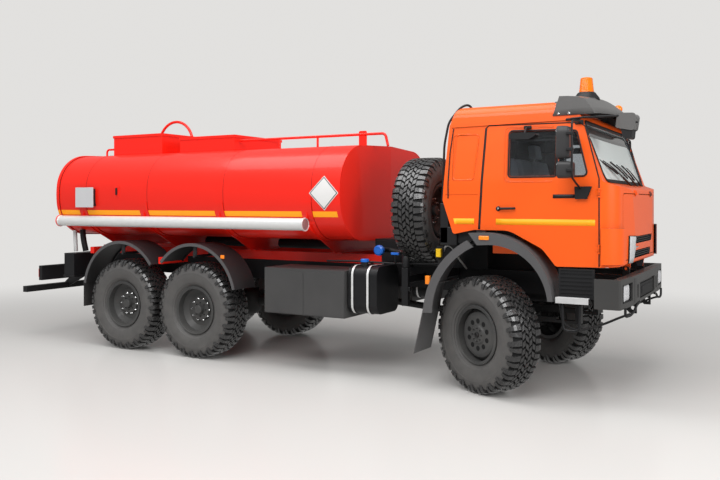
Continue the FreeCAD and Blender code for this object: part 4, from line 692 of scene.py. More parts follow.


# ---- Cab shell -------------------------------------------------------------------
# Pressed steel in gloss orange enamel outside and grey trim board inside. Black
# rubber lips, drawn dark and wide, paint the shade in the door gaps and the roof
# gutter's shadow over the door; rubbers hold the glass, and a reflective strip with a
# faint painted glow crosses door and sleeper. Each trim is drawn flat beside the cab
# and then laid on its skin.

def two_sided(material, lining, middle):
    """Turns a finish into one that is a lining where the surface faces a point inside the piece."""
    tree = material.node_tree
    link = tree.links.new
    place, face = node(tree, "ShaderNodeTexCoord"), node(tree, "ShaderNodeNewGeometry")
    away, facing = node(tree, "ShaderNodeVectorMath"), node(tree, "ShaderNodeVectorMath")
    away.operation, facing.operation = "SUBTRACT", "DOT_PRODUCT"
    away.inputs[1].default_value = middle
    own = node(tree, "ShaderNodeVectorTransform")
    own.vector_type, own.convert_from, own.convert_to = "NORMAL", "WORLD", "OBJECT"
    inward = node(tree, "ShaderNodeMath")
    inward.operation = "LESS_THAN"
    inward.inputs[1].default_value = 0.0
    pick = node(tree, "ShaderNodeMix")
    pick.data_type = "RGBA"
    group = next(n for n in tree.nodes if n.type == "GROUP")
    pick.inputs["A"].default_value = group.inputs["Colour"].default_value
    pick.inputs["B"].default_value = (*lining, 1)
    link(place.outputs["Object"], away.inputs[0])
    link(face.outputs["True Normal"], own.inputs[0])
    link(own.outputs[0], facing.inputs[0])
    link(away.outputs[0], facing.inputs[1])
    link(facing.outputs["Value"], inward.inputs[0])
    link(inward.outputs[0], pick.inputs["Factor"])
    link(pick.outputs["Result"], group.inputs["Colour"])


gloss_orange = finish("orange_enamel", (0.90, 0.105, 0.004), 0.36, coat=0.25, mottle=0.04, dimple=0.02,
                      dimple_scale=90)
two_sided(gloss_orange, (0.040, 0.043, 0.050), (front_x + 0.35, 0, 2.25))
wear(gloss_orange, "cab_shell", "door_right", "door_left", "front_panel")


def skin_of(*names):
    """One object holding the triangles of several CAD nodes, to lay trims on."""
    points, faces, start = [], [], 0
    for name in names:
        source = frame["nodes"][name].data
        co = np.empty(len(source.vertices) * 3)
        source.vertices.foreach_get("co", co)
        corner = np.empty(len(source.loops), int)
        source.loops.foreach_get("vertex_index", corner)
        points.append(co.reshape(-1, 3))
        faces.append(corner.reshape(-1, 3) + start)
        start += len(source.vertices)
    return shaped("skin", np.concatenate(points), np.concatenate(faces))


def dense(path, gap=0.025, closed=False):
    """The same line with points no further apart than a gap; its corners are kept."""
    path = np.array(path, float)
    if closed:
        path = np.vstack([path, path[:1]])
    run = np.concatenate([[0], np.cumsum(np.linalg.norm(np.diff(path, axis=0), axis=1))])
    places = np.union1d(run, np.linspace(0, run[-1], max(int(run[-1] / gap), 1) + 1))
    line = np.stack([np.interp(places, run, path[:, k]) for k in range(path.shape[1])], 1)
    return line[:-1] if closed else line


def eased(corners, steps=6):
    """A closed outline of (u, v, radius) corners, each turned into an arc of that radius."""
    points = []
    for k, (u, v, radius) in enumerate(corners):
        here = np.array([u, v], float)
        if not radius:
            points.append(here[None])
            continue
        back = np.array(corners[k - 1][:2]) - here
        ahead = np.array(corners[(k + 1) % len(corners)][:2]) - here
        back, ahead = back / np.linalg.norm(back), ahead / np.linalg.norm(ahead)
        half = math.acos(np.clip(back @ ahead, -1, 1)) / 2
        middle = here + (back + ahead) / np.linalg.norm(back + ahead) * radius / math.sin(half)
        start, end = (here + way * radius / math.tan(half) - middle for way in (back, ahead))
        t = np.linspace(0, 1, steps + 1)[:, None]
        sweep_angle = math.pi - 2 * half
        points.append(middle + (np.sin((1 - t) * sweep_angle) * start + np.sin(t * sweep_angle) * end)
                      / math.sin(sweep_angle))
    return np.concatenate(points)


def ribbon(path, width, closed=False, shift=0.0):
    """Two lines beside a flat path: the path moved by shift minus and plus half a width."""
    ahead = np.roll(path, -1, 0) - np.roll(path, 1, 0) if closed else np.gradient(path, axis=0)
    side = np.stack([-ahead[:, 1], ahead[:, 0]], 1) / np.linalg.norm(ahead, axis=1)[:, None]
    return np.stack([path + side * (shift - width / 2), path + side * (shift + width / 2)], 1)


def settle(made):
    """Replaces a piece's mesh by what its modifiers make of it."""
    final = bpy.data.meshes.new_from_object(made.evaluated_get(bpy.context.evaluated_depsgraph_get()))
    made.modifiers.clear()
    made.data = final
    return made


# For each side that a trim can be drawn on: the axis and place it starts from, and its way in.
views = {"right": (1, -1.6, 1), "left": (1, 1.6, -1), "front": (0, front_x + 2.2, -1)}


def laid(name, grid, view, skin, thick, material, body, closed=False):
    """Lays a flat (rows, columns, 2) grid on a skin and thickens it: a trim that follows the sheet.

    The view is the side that it is drawn on: right (-y), left (+y) or front (+x).
    A point over a gap of the skin takes the depth of its neighbours."""
    rows, count = grid.shape[:2]
    flat = grid.reshape(-1, 2)
    axis, start, toward = views[view]
    points = np.insert(flat, axis, start, axis=1)
    points[:, 0] += 0 if axis == 0 else front_x
    faces = quads(rows, count, closed)
    if view == "left":
        faces = faces[:, ::-1]
    made = piece(name, (points, faces), material, body)
    lie = made.modifiers.new("lie", "SHRINKWRAP")
    lie.target, lie.wrap_method = skin, "PROJECT"
    lie.use_project_x, lie.use_project_y, lie.use_project_z = axis == 0, axis == 1, False
    lie.use_positive_direction, lie.use_negative_direction = toward > 0, toward < 0
    settle(made)
    depth = np.array([v.co[axis] for v in made.data.vertices]).reshape(rows, count)
    missed = np.abs(depth - points[0, axis]) < 1e-4
    for line, gone in [*zip(depth, missed), *zip(depth.T, missed.T)]:
        if gone.any() and not gone.all():
            line[gone] = np.interp(np.flatnonzero(gone), np.flatnonzero(~gone), line[~gone])
            gone[:] = False
    for vertex, value in zip(made.data.vertices, depth.ravel()):
        vertex.co[axis] = value
    wall = made.modifiers.new("wall", "SOLIDIFY")
    wall.thickness, wall.offset, wall.use_even_offset = thick, 1.0, False
    settle(made)
    return made


def patch(corners, rows=2, columns=2):
    """A four-cornered flat area as a grid, from its corners in order round it."""
    a, b, c, d = (np.array(p, float) for p in corners)
    u, v = np.linspace(0, 1, rows)[:, None, None], np.linspace(0, 1, columns)[None, :, None]
    return (1 - u) * ((1 - v) * a + v * d) + u * ((1 - v) * b + v * c)


cab_skin = skin_of("cab_shell", "door_right", "door_left", "front_panel")
door_line = [(-0.1262, 1.768), (-0.063, 2.853), (-0.030, 2.876), (0.930, 2.862), (0.985, 2.820), (1.130, 2.290),
             (1.130, 1.415)]
side_pane = eased([(0.205, 2.330, 0.025), (0.690, 2.330, 0.012), (0.690, 2.790, 0.012), (0.205, 2.800, 0.030)])
quarter_pane = eased([(0.722, 2.330, 0.012), (1.010, 2.330, 0.030), (0.895, 2.775, 0.025),
                      (0.722, 2.790, 0.012)])
sleeper_line = eased([(-0.435, 2.300, 0.03), (-0.200, 2.300, 0.03), (-0.145, 2.790, 0.04),
                      (-0.410, 2.800, 0.05)])
window_line = eased([(0.148, 2.268, 0.05), (0.662, 2.268, 0.01), (0.662, 2.276, 0.003), (0.172, 2.276, 0.04),
                     (0.172, 2.838, 0.04), (0.662, 2.832, 0.003), (0.662, 2.842, 0.003), (0.148, 2.852, 0.05)])
badge = patch([(0.672, 2.098), (0.893, 2.098), (0.893, 2.136), (0.672, 2.136)], 6, 2)
cable = ribbon(dense([(-0.487, 2.10), (-0.487, 2.28), (-0.475, 2.60), (-0.442, 2.86)]), 0.010)
for label, _ in sides:
    # Black lips on the door's rear, top and front edges are partly rubber, drawn wide and dark as painted shade
    # in the gaps; the top one paints the roof gutter's shadow.
    for word, line, wide, shift, thick, body in (("rear", door_line[:2], 0.024, 0.002, 0.0025, "door_" + label),
                                                 ("top", door_line[1:5], 0.011, 0.003, 0.0022, "cab"),
                                                 ("front", door_line[4:], 0.013, 0.004, 0.0022, "cab")):
        laid("door_%s_lip_%s" % (word, label), ribbon(dense(line), wide, shift=shift), label, cab_skin, thick,
             seal_black, body)
    for word, line in (("side", side_pane), ("quarter", quarter_pane)):
        grid = ribbon(dense(line, closed=True), 0.017, True, shift=-0.0105)
        laid("%s_pane_rubber_%s" % (word, label), grid, label, cab_skin, 0.005, seal_black, "door_" + label,
             closed=True)
    for word, start, end, body in (("sleeper", -0.430, -0.185, "cab"), ("door", 0.060, 1.095, "door_" + label)):
        grid = patch([(start, 1.820), (end, 1.820), (end, 1.882), (start, 1.882)], 14, 2)
        if word == "sleeper":
            grid[0, 0, 0] += 0.020
        laid("%s_strip_%s" % (word, label), grid, label, cab_skin, 0.0012, strip_amber, body)
    for word, line, wide, body in (("sleeper", sleeper_line, 0.014, "cab"),
                                   ("window", window_line, 0.008, "door_" + label)):
        grid = ribbon(dense(line, closed=True), wide, True)
        laid("%s_press_line_%s" % (word, label), grid, label, cab_skin, 0.003, gloss_orange, body,
             closed=True)
    laid("door_badge_" + label, badge, label, cab_skin, 0.004, black_plastic, "door_" + label)
    laid("rear_corner_cable_" + label, cable, label, cab_skin, 0.010, seal_black, "cab")

screen_line = eased([(-0.985, 2.290, 0.09), (0.985, 2.290, 0.09), (1.048, 2.858, 0.08), (-1.048, 2.858, 0.08)])
screen_rubber = ribbon(dense(screen_line, closed=True), 0.036, True, shift=-0.019)
laid("screen_rubber", screen_rubber, "front", cab_skin, 0.007, seal_black, "cab", closed=True)


# ---- Door handles ------------------------------------------------------------------
# A black moulded pull on each door, with a bright round lock at its rear end.

def at(x, y, z):
    """A place counted from the front axle, as on the lorry's drawings."""
    return np.array([front_x + x, y, z])


def tube(points, radius, steps=12):
    """A round bar along a smooth path: circles square to the path, turned with it."""
    path = np.array(points, float)
    ahead = np.gradient(path, axis=0)
    ahead /= np.linalg.norm(ahead, axis=1)[:, None]
    rest = (0.31, 0.95, 0.02) if (np.abs(ahead[:, 2]) > 0.9).any() else (0, 0, 1.0)
    across = np.cross(ahead, np.broadcast_to(rest, ahead.shape))
    across /= np.linalg.norm(across, axis=1)[:, None]
    up = np.cross(across, ahead)
    turn = np.linspace(0, 2 * np.pi, steps + 1)[:-1]
    radius = np.broadcast_to(radius, len(path))[:, None, None]
    rings = radius * (np.cos(turn)[None, :, None] * across[:, None] + np.sin(turn)[None, :, None] * up[:, None])
    return loft(path, rings)


def bent(corners, bend, steps=6):
    """A line through corners, each rounded by a curve that starts and ends a bend away from it."""
    corners = np.array(corners, float)
    line = [corners[:1]]
    for before, here, after in zip(corners, corners[1:], corners[2:]):
        t = np.linspace(0, 1, steps + 1)[:, None]
        start, end = (here + (other - here) / np.linalg.norm(other - here)
                      * min(bend, np.linalg.norm(other - here) / 2) for other in (before, after))
        line.append((1 - t) ** 2 * start + 2 * t * (1 - t) * here + t ** 2 * end)
    line.append(corners[-1:])
    return np.concatenate(line)


def bar(name, side, corners, radius, bend, material, body, steps=12):
    """A bent round bar or pipe through (x, y, z) places: x from the front axle, y outward on a side."""
    path = bent([at(x, side * y, z) for x, y, z in corners], bend)
    return solid(name, tube(path, radius, steps), material, body)


def box(low, high):
    """Corners and faces of an upright block."""
    unit = np.array([[0, 0, 0], [1, 0, 0], [1, 1, 0], [0, 1, 0], [0, 0, 1], [1, 0, 1], [1, 1, 1], [0, 1, 1]])
    faces = np.array([[0, 3, 2, 1], [4, 5, 6, 7], [0, 1, 5, 4], [1, 2, 6, 5], [2, 3, 7, 6], [3, 0, 4, 7]])
    return low + unit * (high - low), faces


def softened(made, width, segments=2):
    """Rounds a piece's edges with a small bevel."""
    bevel = made.modifiers.new("edge", "BEVEL")
    bevel.width, bevel.segments, bevel.limit_method = width, segments, "ANGLE"
    return settle(made)


def blocky(name, side, parts, edge, material, body):
    """Upright blocks as one piece with softened edges, each (x, x, y, y, z, z) counted as for a bar."""
    blocks_of = []
    for x0, x1, near, far, z0, z1 in parts:
        y0, y1 = sorted((side * near, side * far))
        blocks_of.append(box(at(x0, y0, z0), at(x1, y1, z1)))
    return softened(piece(name, gather(*blocks_of), material, body, False), edge)


def paired_bars(*rows):
    """A bar on each side for every row of (name, body, slot, material, radius, bend, *corners); the slot is not
    used.
    """
    for name, body, slot, material, radius, bend, *corners in rows:
        for label, side in sides:
            bar(name.format(label), side, corners, radius, bend, material, body.format(label))


def paired_blocks(*rows):
    """Blocks on each side for every row of (name, body, slot, material, edge, *parts); the slot is not used."""
    for name, body, slot, material, edge, *parts in rows:
        for label, side in sides:
            blocky(name.format(label), side, parts, edge, material, body.format(label))


paired_bars(("door_pull_{}", "door_{}", "orange", black_plastic, 0.0125, 0.012, (0.100, 1.154, 1.990),
             (0.110, 1.180, 1.990), (0.250, 1.184, 1.992), (0.268, 1.154, 1.994)))
lock = cored((-0.004, 0.027), (0.010, 0.025), (0.014, 0.020))
barrel = cored((0.013, 0.009), (0.017, 0.0085), (0.018, 0.006), (0.016, 0.005))
for label, side in sides:
    centre, outward = at(0.088, side * 1.150, 1.989), np.array([0, side, 0.0])
    piece("door_lock_" + label, turned(centre, outward, lock, 28), black_plastic, "door_" + label)
    piece("door_barrel_" + label, turned(centre, outward, barrel, 20), bright_metal, "door_" + label)


# ---- Windscreen and wipers -----------------------------------------------------------
# Laminated screen with a dark band along its top. Three black wipers turn on orange
# bosses below it: a flat arm, and a blade held by two claws.

def glazing(name, colour, through, coat=0.4, ior=1.45):
    """Glass: tinted, clear to light by the share given; the rest shows its pale colour, a painted reflection,
    with a faint uneven film of dust.
    """
    return finish(name, colour, 0.03, coat=coat, mottle=0.06, mottle_scale=2.5, dimple=0.0, Coat_Roughness=0.03,
                  Specular_IOR_Level=0.5, Transmission_Weight=through, IOR=ior)


# The screen passes a fifth of the light; its pale colour is a painted reflection of the bright room.
wear(glazing("screen_glass", (0.90, 0.97, 0.95), 0.20), "cab_glass")
wear(glazing("side_glass", (0.88, 0.92, 0.95), 0.985, 0.0, 1.16), "door_glass_right", "door_glass_left")
band_glass = finish("screen_band", (0.050, 0.055, 0.055), 0.10, coat=1.0, mottle=0.3, mottle_scale=5)
glass_skin = skin_of("cab_glass")
across = np.linspace(-1.0, 1.0, 41)
band_low = 2.722 + 0.012 * across ** 2 - 0.03 * np.maximum(np.abs(across) - 0.92, 0) / 0.08
band_high = 2.850 - 0.055 * np.maximum(np.abs(across) - 0.93, 0) / 0.07
band_grid = np.stack([np.stack([across * 1.02, band_low + (band_high - band_low) * v], 1)
                      for v in np.linspace(0, 1, 4)], 1)
laid("screen_band", band_grid, "front", glass_skin, 0.0015, band_glass, "cab")
bpy.data.objects.remove(glass_skin)


def screen_at(y, z, off):
    """A place off the windscreen's face: it leans back with height and bows in with y."""
    return at(1.172 - 0.343 * (z - 2.26) - 0.055 * (y / 1.15) ** 2 + off, y, z)


hub = cored((-0.03, 0.034), (0.020, 0.028), (0.036, 0.018))
top = cored((0.034, 0.015), (0.062, 0.014), (0.066, 0.010))
off_screen = np.array([0.94, 0, 0.34])
# The blade's two ends and the arm's boss (y, z) of each wiper.
for index, ends in enumerate((((-0.925, 2.508), (-0.300, 2.365), (0.070, 2.212)),
                              ((-0.430, 2.488), (0.170, 2.330), (0.500, 2.196)),
                              ((0.080, 2.470), (0.650, 2.322), (0.900, 2.186)))):
    tip, heel, boss = np.array(ends)
    steps = np.linspace(0, 1, 13)[:, None]
    along = tip + (heel - tip) * steps
    rise = 0.006 + 0.004 * np.sin(steps[:, 0] * np.pi)
    blade = [screen_at(*place, off) for place, off in zip(along, rise)]
    spine = [screen_at(*place, 0.022 + off * 1.6) for place, off in zip(along[2:-2], rise[2:-2])]
    claw = (tip + heel) / 2
    bow = claw * 0.45 + boss * 0.55
    arm = bent([screen_at(*claw, 0.036), screen_at(*bow, 0.050), screen_at(*boss, 0.052)], 0.12, 8)
    link = arm[3:] + (0.0, 0.03, -0.018)
    for word, path, radius, look in (("blade", blade, 0.0085, seal_black),
                                     ("spine", spine, 0.0055, black_plastic),
                                     ("arm", arm, np.linspace(0.006, 0.012, len(arm)), black_plastic),
                                     ("link", link, 0.0045, black_plastic)):
        solid("wiper_%s_%d" % (word, index), tube(path, radius, 8), look, "cab")
    base = screen_at(*boss, 0.0)
    piece("wiper_boss_%d" % index, turned(base, off_screen, hub, 24), gloss_orange, "cab")
    piece("wiper_nut_%d" % index, turned(base, off_screen, top, 8), black_plastic, "cab",
          False)


# ---- Cab front ------------------------------------------------------------------------
# The air slots hold black bars over a near-black sheet, bumped like a fine mesh, that
# paints the shade inside them; a blank plate in a black holder stands on the right corner.

# A near-black sheet with a mesh-like bump behind the slot bars is painted shade in the slots' depth.
slot_shade_sheet = finish("slot_mesh", (0.012, 0.012, 0.013), 0.6, dimple=1.0, dimple_scale=220)
for index, base in enumerate((1.470, 1.620)):
    bars = [(1.318, 1.344, -0.487, 0.487, base + z, base + z + 0.012) for z in (0.012, 0.034, 0.056)]
    blocky("slot_bars_%d" % index, 1, bars, 0.002, black_plastic, "front_panel")
    sheet = box(at(1.306, -0.489, base + 0.001), at(1.312, 0.489, base + 0.077))
    piece("slot_mesh_%d" % index, sheet, slot_shade_sheet, "front_panel", False)
holder = patch([(-0.752, 1.430), (-0.300, 1.412), (-0.285, 1.698), (-0.728, 1.712)], 12, 6)
plate = patch([(-0.735, 1.432), (-0.300, 1.418), (-0.285, 1.690), (-0.712, 1.705)], 12, 6)
laid("front_plate_back", holder, "front", cab_skin, 0.012, black_plastic, "front_panel")
laid("front_plate", plate, "front", cab_skin, 0.0145, plate_grey, "front_panel")


# ---- Bumper lamps -----------------------------------------------------------------------
# Each pocket of the steel bumper holds a headlamp with a ribbed lens and beside it a
# smaller dark one, in a black rim. Bars close the grip slots, and a joint line parts
# the corner section from the middle one.

dark_grey = finish("dark_grey_enamel", (0.044, 0.043, 0.042), 0.44, dust=0.12, coat=0.15, dimple=0.15,
                   dimple_scale=300)
wear(dark_grey, "front_bumper", "roof_fairing")
lens_clear = finish("lamp_lens", (0.80, 0.80, 0.82), 0.08, coat=1.0, mottle=0.25, mottle_scale=24,
                    Transmission_Weight=0.35)
lens_amber = finish("amber_lamp_lens", (0.86, 0.22, 0.010), 0.2, coat=0.8, mottle=0.3, mottle_scale=50,
                    Emission_Color=(0.9, 0.25, 0.01, 1), Emission_Strength=0.15)
bumper_low = 1.003


def lens(name, low, high, depth, ribs, material):
    """A lamp lens between two (y, z) corners: a pillowed face that also waves in upright ribs."""
    v, u = np.mgrid[0:1:13j, 0:1:49j]
    edge = np.minimum(np.minimum(u, 1 - u) * (high[0] - low[0]), np.minimum(v, 1 - v) * (high[1] - low[1]))
    swell = depth * np.clip(edge / 0.03, 0, 1) ** 0.5
    wave = 0.0016 * np.cos(2 * np.pi * ribs * u) * (edge > 0.012)
    front = np.stack([swell + wave, low[0] + u * (high[0] - low[0]), low[1] + v * (high[1] - low[1])], -1)
    back = front * (0, 1, 1) - (0.012, 0, 0)
    rows, count = u.shape
    total = rows * count
    face = quads(rows, count)
    across, up = np.arange(count), np.arange(rows) * count
    ring = np.concatenate([across, up[1:] + count - 1, up[-1] + across[-2::-1], up[-2:0:-1]])
    wall = np.stack([ring, np.roll(ring, -1), np.roll(ring, -1) + total, ring + total], 1)
    faces = np.concatenate([face[:, ::-1], face + total, wall[:, ::-1]])
    points = np.concatenate([front, back]).reshape(-1, 3) + (front_x + 1.358, 0, 0)
    piece(name, (points, faces), material, "chassis")


bumper_skin = skin_of("front_bumper")
for label, side in sides:
    for word, near, far, low, high, depth, ribs, look in (
            ("headlamp_", 0.862, 1.108, 0.068, 0.228, 0.014, 14, lens_clear),
            ("side_lamp_", 0.792, 0.852, 0.085, 0.212, 0.008, 4, casting_black)):
        y0, y1 = sorted((side * near, side * far))
        lens(word + label, (y0, bumper_low + low), (y1, bumper_low + high), depth, ribs, look)
    y0, y1 = sorted((side * 0.782, side * 1.138))
    z0, z1 = bumper_low + 0.057, bumper_low + 0.238
    rim = eased([(y0, z0, 0.015), (y1, z0, 0.015), (y1, z1, 0.015), (y0, z1, 0.015)])
    loop = ribbon(dense(rim, closed=True), 0.010, True, shift=0.004)
    points = np.insert(loop, 0, front_x + 1.352, axis=2)
    ahead = points + (0.014, 0, 0)
    ring = np.stack([points[:, 0], points[:, 1], ahead[:, 1], ahead[:, 0]], 1)
    piece("headlamp_rim_" + label, (ring.reshape(-1, 3), quads(len(ring), 4, True, True)), black_plastic,
          "chassis")
    joint_line = ribbon(dense([(side * 0.705, 1.004), (side * 0.705, 1.288)]), 0.006)
    laid("bumper_joint_" + label, joint_line, "front", bumper_skin, 0.0012, seal_black, "chassis")
bpy.data.objects.remove(bumper_skin)
paired_blocks(("bumper_grip_{}", "chassis", "bumper_grey", casting_black, 0.002,
               *[(1.374, 1.386, 0.533, 0.587, bumper_low + z, bumper_low + z + 0.022)
                 for z in (0.075, 0.110, 0.145)]))
blocky("bumper_centre_box", 1, [(1.368, 1.388, -0.385, 0.385, 1.050, 1.190),
                                (1.372, 1.394, -0.300, 0.300, 1.080, 1.160)], 0.004, casting_black, "chassis")


# ---- Steps under the doors ----------------------------------------------------------------
# A bright pressed tread of four slats under each door, with a bright lip on its edge.

tread_metal = finish("pressed_tread", (0.60, 0.60, 0.60), 0.42, metallic=0.3, mottle=0.25, mottle_scale=18,
                     dimple=0.4, dimple_scale=150)
wear(black_plastic, "entry_steps")
paired_blocks(
    ("tread_slats_{}", "chassis", "black_plastic", tread_metal, 0.003,
     *[(0.728, 1.046, 1.165 + 0.019 * k, 1.179 + 0.019 * k, 1.086, 1.0985) for k in range(4)]),
    ("tread_lip_{}", "chassis", "black_plastic", tread_metal, 0.002,
     (0.722, 1.052, 1.2435, 1.2485, 1.040, 1.102)))


# ---- Door mirrors --------------------------------------------------------------------------
# Two moulded heads one above the other on a bent steel tube, which stands on a cast foot
# on the door; clamps hold the heads. A kerb mirror hangs from an arm above the window.

mirror_face = finish("silvered_glass", (0.82, 0.85, 0.86), 0.04, metallic=1.0, mottle=0.03, dimple=0.0)
mirror_plastic = finish("mirror_plastic", (0.040, 0.039, 0.040), 0.34, dust=0.10, dimple=0.12)


def squared(count=32, power=5.0):
    """Points (y, z) of a rounded square of half size one: a superellipse."""
    turn = np.linspace(0, 2 * np.pi, count + 1)[:-1]
    c, s = np.cos(turn), np.sin(turn)
    return np.stack([np.sign(c) * np.abs(c) ** (2 / power), np.sign(s) * np.abs(s) ** (2 / power)], 1)


def head(name, low, high, body):
    """A mirror head: rounded squares along x, smaller towards the front, with a glass at the back."""
    low, high = np.asarray(low, float), np.asarray(high, float)
    middle, half = (low + high) / 2, (high - low) / 2
    square = squared()
    along = np.array([0.0, 0.04, 0.10, 0.45, 0.72, 0.90, 0.98, 1.0])
    scale = np.array([0.965, 0.995, 1.0, 0.995, 0.975, 0.93, 0.86, 0.86 * 0.9])
    for word, x, size, look, slot in (
            ("", low[0] + along * (high[0] - low[0]), scale, mirror_plastic, "black_plastic"),
            ("_glass", low[0] + np.array([-0.0025, 0.004]), np.array([0.90, 0.90]), mirror_face, "glass")):
        rings = np.zeros((len(x), len(square), 3))
        rings[:, :, 1:] = square[None] * half[None, None, 1:] * size[:, None, None]
        path = np.column_stack([x, np.full(len(x), middle[1]), np.full(len(x), middle[2])])
        solid(name + word, loft(path, rings, -1), look, body)


def slab(name, outline, side, near, far, width, material, body):
    """A flat (x, z) outline carried across from near to far on a side, with edges softened by a width."""
    outline = np.array(outline, float)
    path = [(front_x, y, 0) for y in sorted((side * near, side * far))]
    rings = np.broadcast_to(np.insert(outline, 1, 0, axis=1), (2, len(outline), 3))
    return softened(solid(name, loft(path, rings), material, body, False), width, 3)


kerb = eased([(0.245, 2.712, 0.02), (0.470, 2.706, 0.02), (0.560, 2.752, 0.01), (0.300, 2.760, 0.02)])
foot = [(0.912, 2.096), (1.011, 2.096), (1.056, 2.206), (0.908, 2.206)]
for label, side in sides:
    body = "door_" + label
    y0, y1 = sorted((side * 1.268, side * 1.437))
    head("mirror_upper_" + label, at(0.782, y0, 2.484), at(0.910, y1, 2.812), body)
    head("mirror_lower_" + label, at(0.790, y0, 2.292), at(0.932, y1, 2.462), body)
    stand = slab("mirror_foot_" + label, foot, side, 1.151, 1.192, 0.008, black_plastic, body)
    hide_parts("mirror_" + label)
    slab("kerb_mirror_" + label, kerb, side, 1.185, 1.333, 0.010, black_plastic, body)
paired_bars(
    ("mirror_post_{}", "door_{}", "black_plastic", black_plastic, 0.0105, 0.05, (0.960, 1.175, 2.190),
     (0.940, 1.300, 2.250), (0.943, 1.451, 2.300), (0.943, 1.451, 2.850), (0.935, 1.250, 2.866),
     (0.925, 1.085, 2.866)),
    ("kerb_arm_{}", "door_{}", "black_plastic", casting_black, 0.010, 0.03, (0.395, 1.100, 2.838),
     (0.395, 1.165, 2.828), (0.395, 1.230, 2.752)))
paired_blocks(
    ("mirror_clamps_{}", "door_{}", "black_plastic", casting_black, 0.005,
     *[(0.885, 0.956, 1.425, 1.4635, z, z + 0.030) for z in (2.355, 2.560, 2.715)]),
    ("mirror_top_mount_{}", "door_{}", "black_plastic", casting_black, 0.006,
     (0.885, 0.965, 1.070, 1.118, 2.846, 2.888), (0.905, 0.935, 1.070, 1.118, 2.885, 2.900)),
    ("kerb_mount_{}", "door_{}", "black_plastic", casting_black, 0.005,
     (0.355, 0.435, 1.100, 1.122, 2.822, 2.856)))


# ---- Roof hood and beacons ---------------------------------------------------------------------
# A dark grey sheet hood over the top of the screen, bolted to the roof's edges; its
# grey, and that of the front mirror's case, is lighter than the bumper's, painted light
# for their lit forward faces. Two warning beacons stand on it, and a long arm carries
# the front mirror.

# A lighter copy of the dark grey enamel: painted light for the hood's and front mirror case's lit faces.
hood_grey_painted_light = finish("hood_grey_enamel", (0.115, 0.112, 0.110), 0.36, coat=0.2, dimple=0.1)
# The hood's profile (x, z): what it adds at the middle (x, z), and at its two ends (z).
hood_profile = np.array([
    (0.655, 2.943, 0, 0, 0.150), (0.682, 3.008, 0, 0, 0.090), (0.724, 3.140, 0, 0.045, 0),
    (0.800, 3.136, 0.005, 0.062, 0), (0.885, 3.126, 0.01, 0.070, 0), (0.960, 3.108, 0.02, 0.072, 0),
    (0.985, 3.085, 0.03, 0.070, 0), (1.035, 3.015, 0.08, 0.055, 0), (1.082, 2.948, 0.110, 0.045, 0)]).T
t = np.linspace(-1, 1, 49)[:, None]
bow, lift = 1 - t ** 2, np.clip((1 - np.abs(t)) / 0.07, 0, 1)
hood_x = front_x + (hood_profile[0] + bow * hood_profile[2])
hood_z = hood_profile[1] + bow * hood_profile[3] + lift * hood_profile[4]
rows, count = hood_x.shape
points = np.stack([hood_x, np.broadcast_to(t * 1.102, hood_x.shape), hood_z], -1)
ends = [list(range(count - 1, -1, -1)), list(range((rows - 1) * count, rows * count))]
faces = quads(rows, count).tolist() + ends
hood = piece("roof_hood", (points.reshape(-1, 3), faces), hood_grey_painted_light, "cab", True, 28)
wall = hood.modifiers.new("wall", "SOLIDIFY")
wall.thickness, wall.offset = 0.006, -1.0
settle(hood)
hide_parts("roof_fairing")
bolt = cored((-0.002, 0.013), (0.006, 0.013), (0.010, 0.009))
for index, x in enumerate((0.714, 0.821)):
    for label, side in sides:
        shape = turned(at(x, side * 1.104, 2.962), (0, side * 1.0, 0), bolt, 12)
        piece("hood_bolt_%s_%d" % (label, index), shape, bright_metal, "cab", False)
upright = np.array([0, 0, 1.0])
flutes = np.linspace(0, 1, 23)
lens_radius = 0.078 - 0.016 * flutes + 0.0014 * np.cos(flutes * 22 * np.pi)
swing = np.linspace(-0.42, 0.5, 15) * np.pi
plinth = cored((0.0, 0.140), (0.020, 0.134), (0.075, 0.094), (0.082, 0.084))
beacon = [(0.0, pin), *zip(0.150 * flutes, lens_radius), (0.158, 0.054), (0.162, 0.036), (0.163, pin)]
ball = [(0.0, pin), (0.0, 0.030), *zip(0.052 + 0.050 * np.sin(swing), 0.050 * np.cos(swing)),
        (0.1025, pin)]
ball_foot = cored((0, 0.060), (0.05, 0.045), (0.067, 0.030))
for name, place, outline, steps, look, slot in (
        ("beacon_mount", at(0.868, -0.560, 3.155), plinth, 40, black_plastic, "bumper_grey"),
        ("beacon_right", at(0.868, -0.560, 3.2353), beacon, 40, amber, "lamp_orange"),
        ("beacon_left", at(0.952, 0.650, 3.125), ball, 36, amber, "lamp_orange"),
        ("beacon_left_foot", at(0.952, 0.650, 3.06), ball_foot, 28, black_plastic, "bumper_grey")):
    made = piece(name, turned(place, upright, outline, steps), look, "cab")
    if name == "beacon_right":
        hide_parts("beacons")
bar("front_mirror_arm", 1, [(0.845, -1.118, 2.905), (0.960, -1.120, 2.912), (1.200, -1.020, 2.922),
                            (1.395, -0.870, 2.935)], 0.0105, 0.06, black_plastic, "cab")
bar("front_mirror_stay", 1, [(1.395, -0.870, 2.935), (1.405, -0.870, 2.860), (1.452, -0.870, 2.862)], 0.009,
    0.02, black_plastic, "cab")
case = eased([(1.262, 2.815, 0.012), (1.424, 2.782, 0.02), (1.447, 2.938, 0.03), (1.280, 2.946, 0.02)])
drop = eased([(1.306, 2.800, 0.004), (1.326, 2.706, 0.010), (1.402, 2.694, 0.02), (1.412, 2.790, 0.004)])
slab("front_mirror_case", case, 1, -0.965, -0.765, 0.010, hood_grey_painted_light, "cab")
slab("front_mirror_drop", drop, 1, -0.955, -0.775, 0.010, black_plastic, "cab")
paired_blocks(("hood_hinge_{}", "cab", "bumper_grey", casting_black, 0.005,
               (0.792, 0.905, 1.096, 1.120, 2.888, 2.912)))


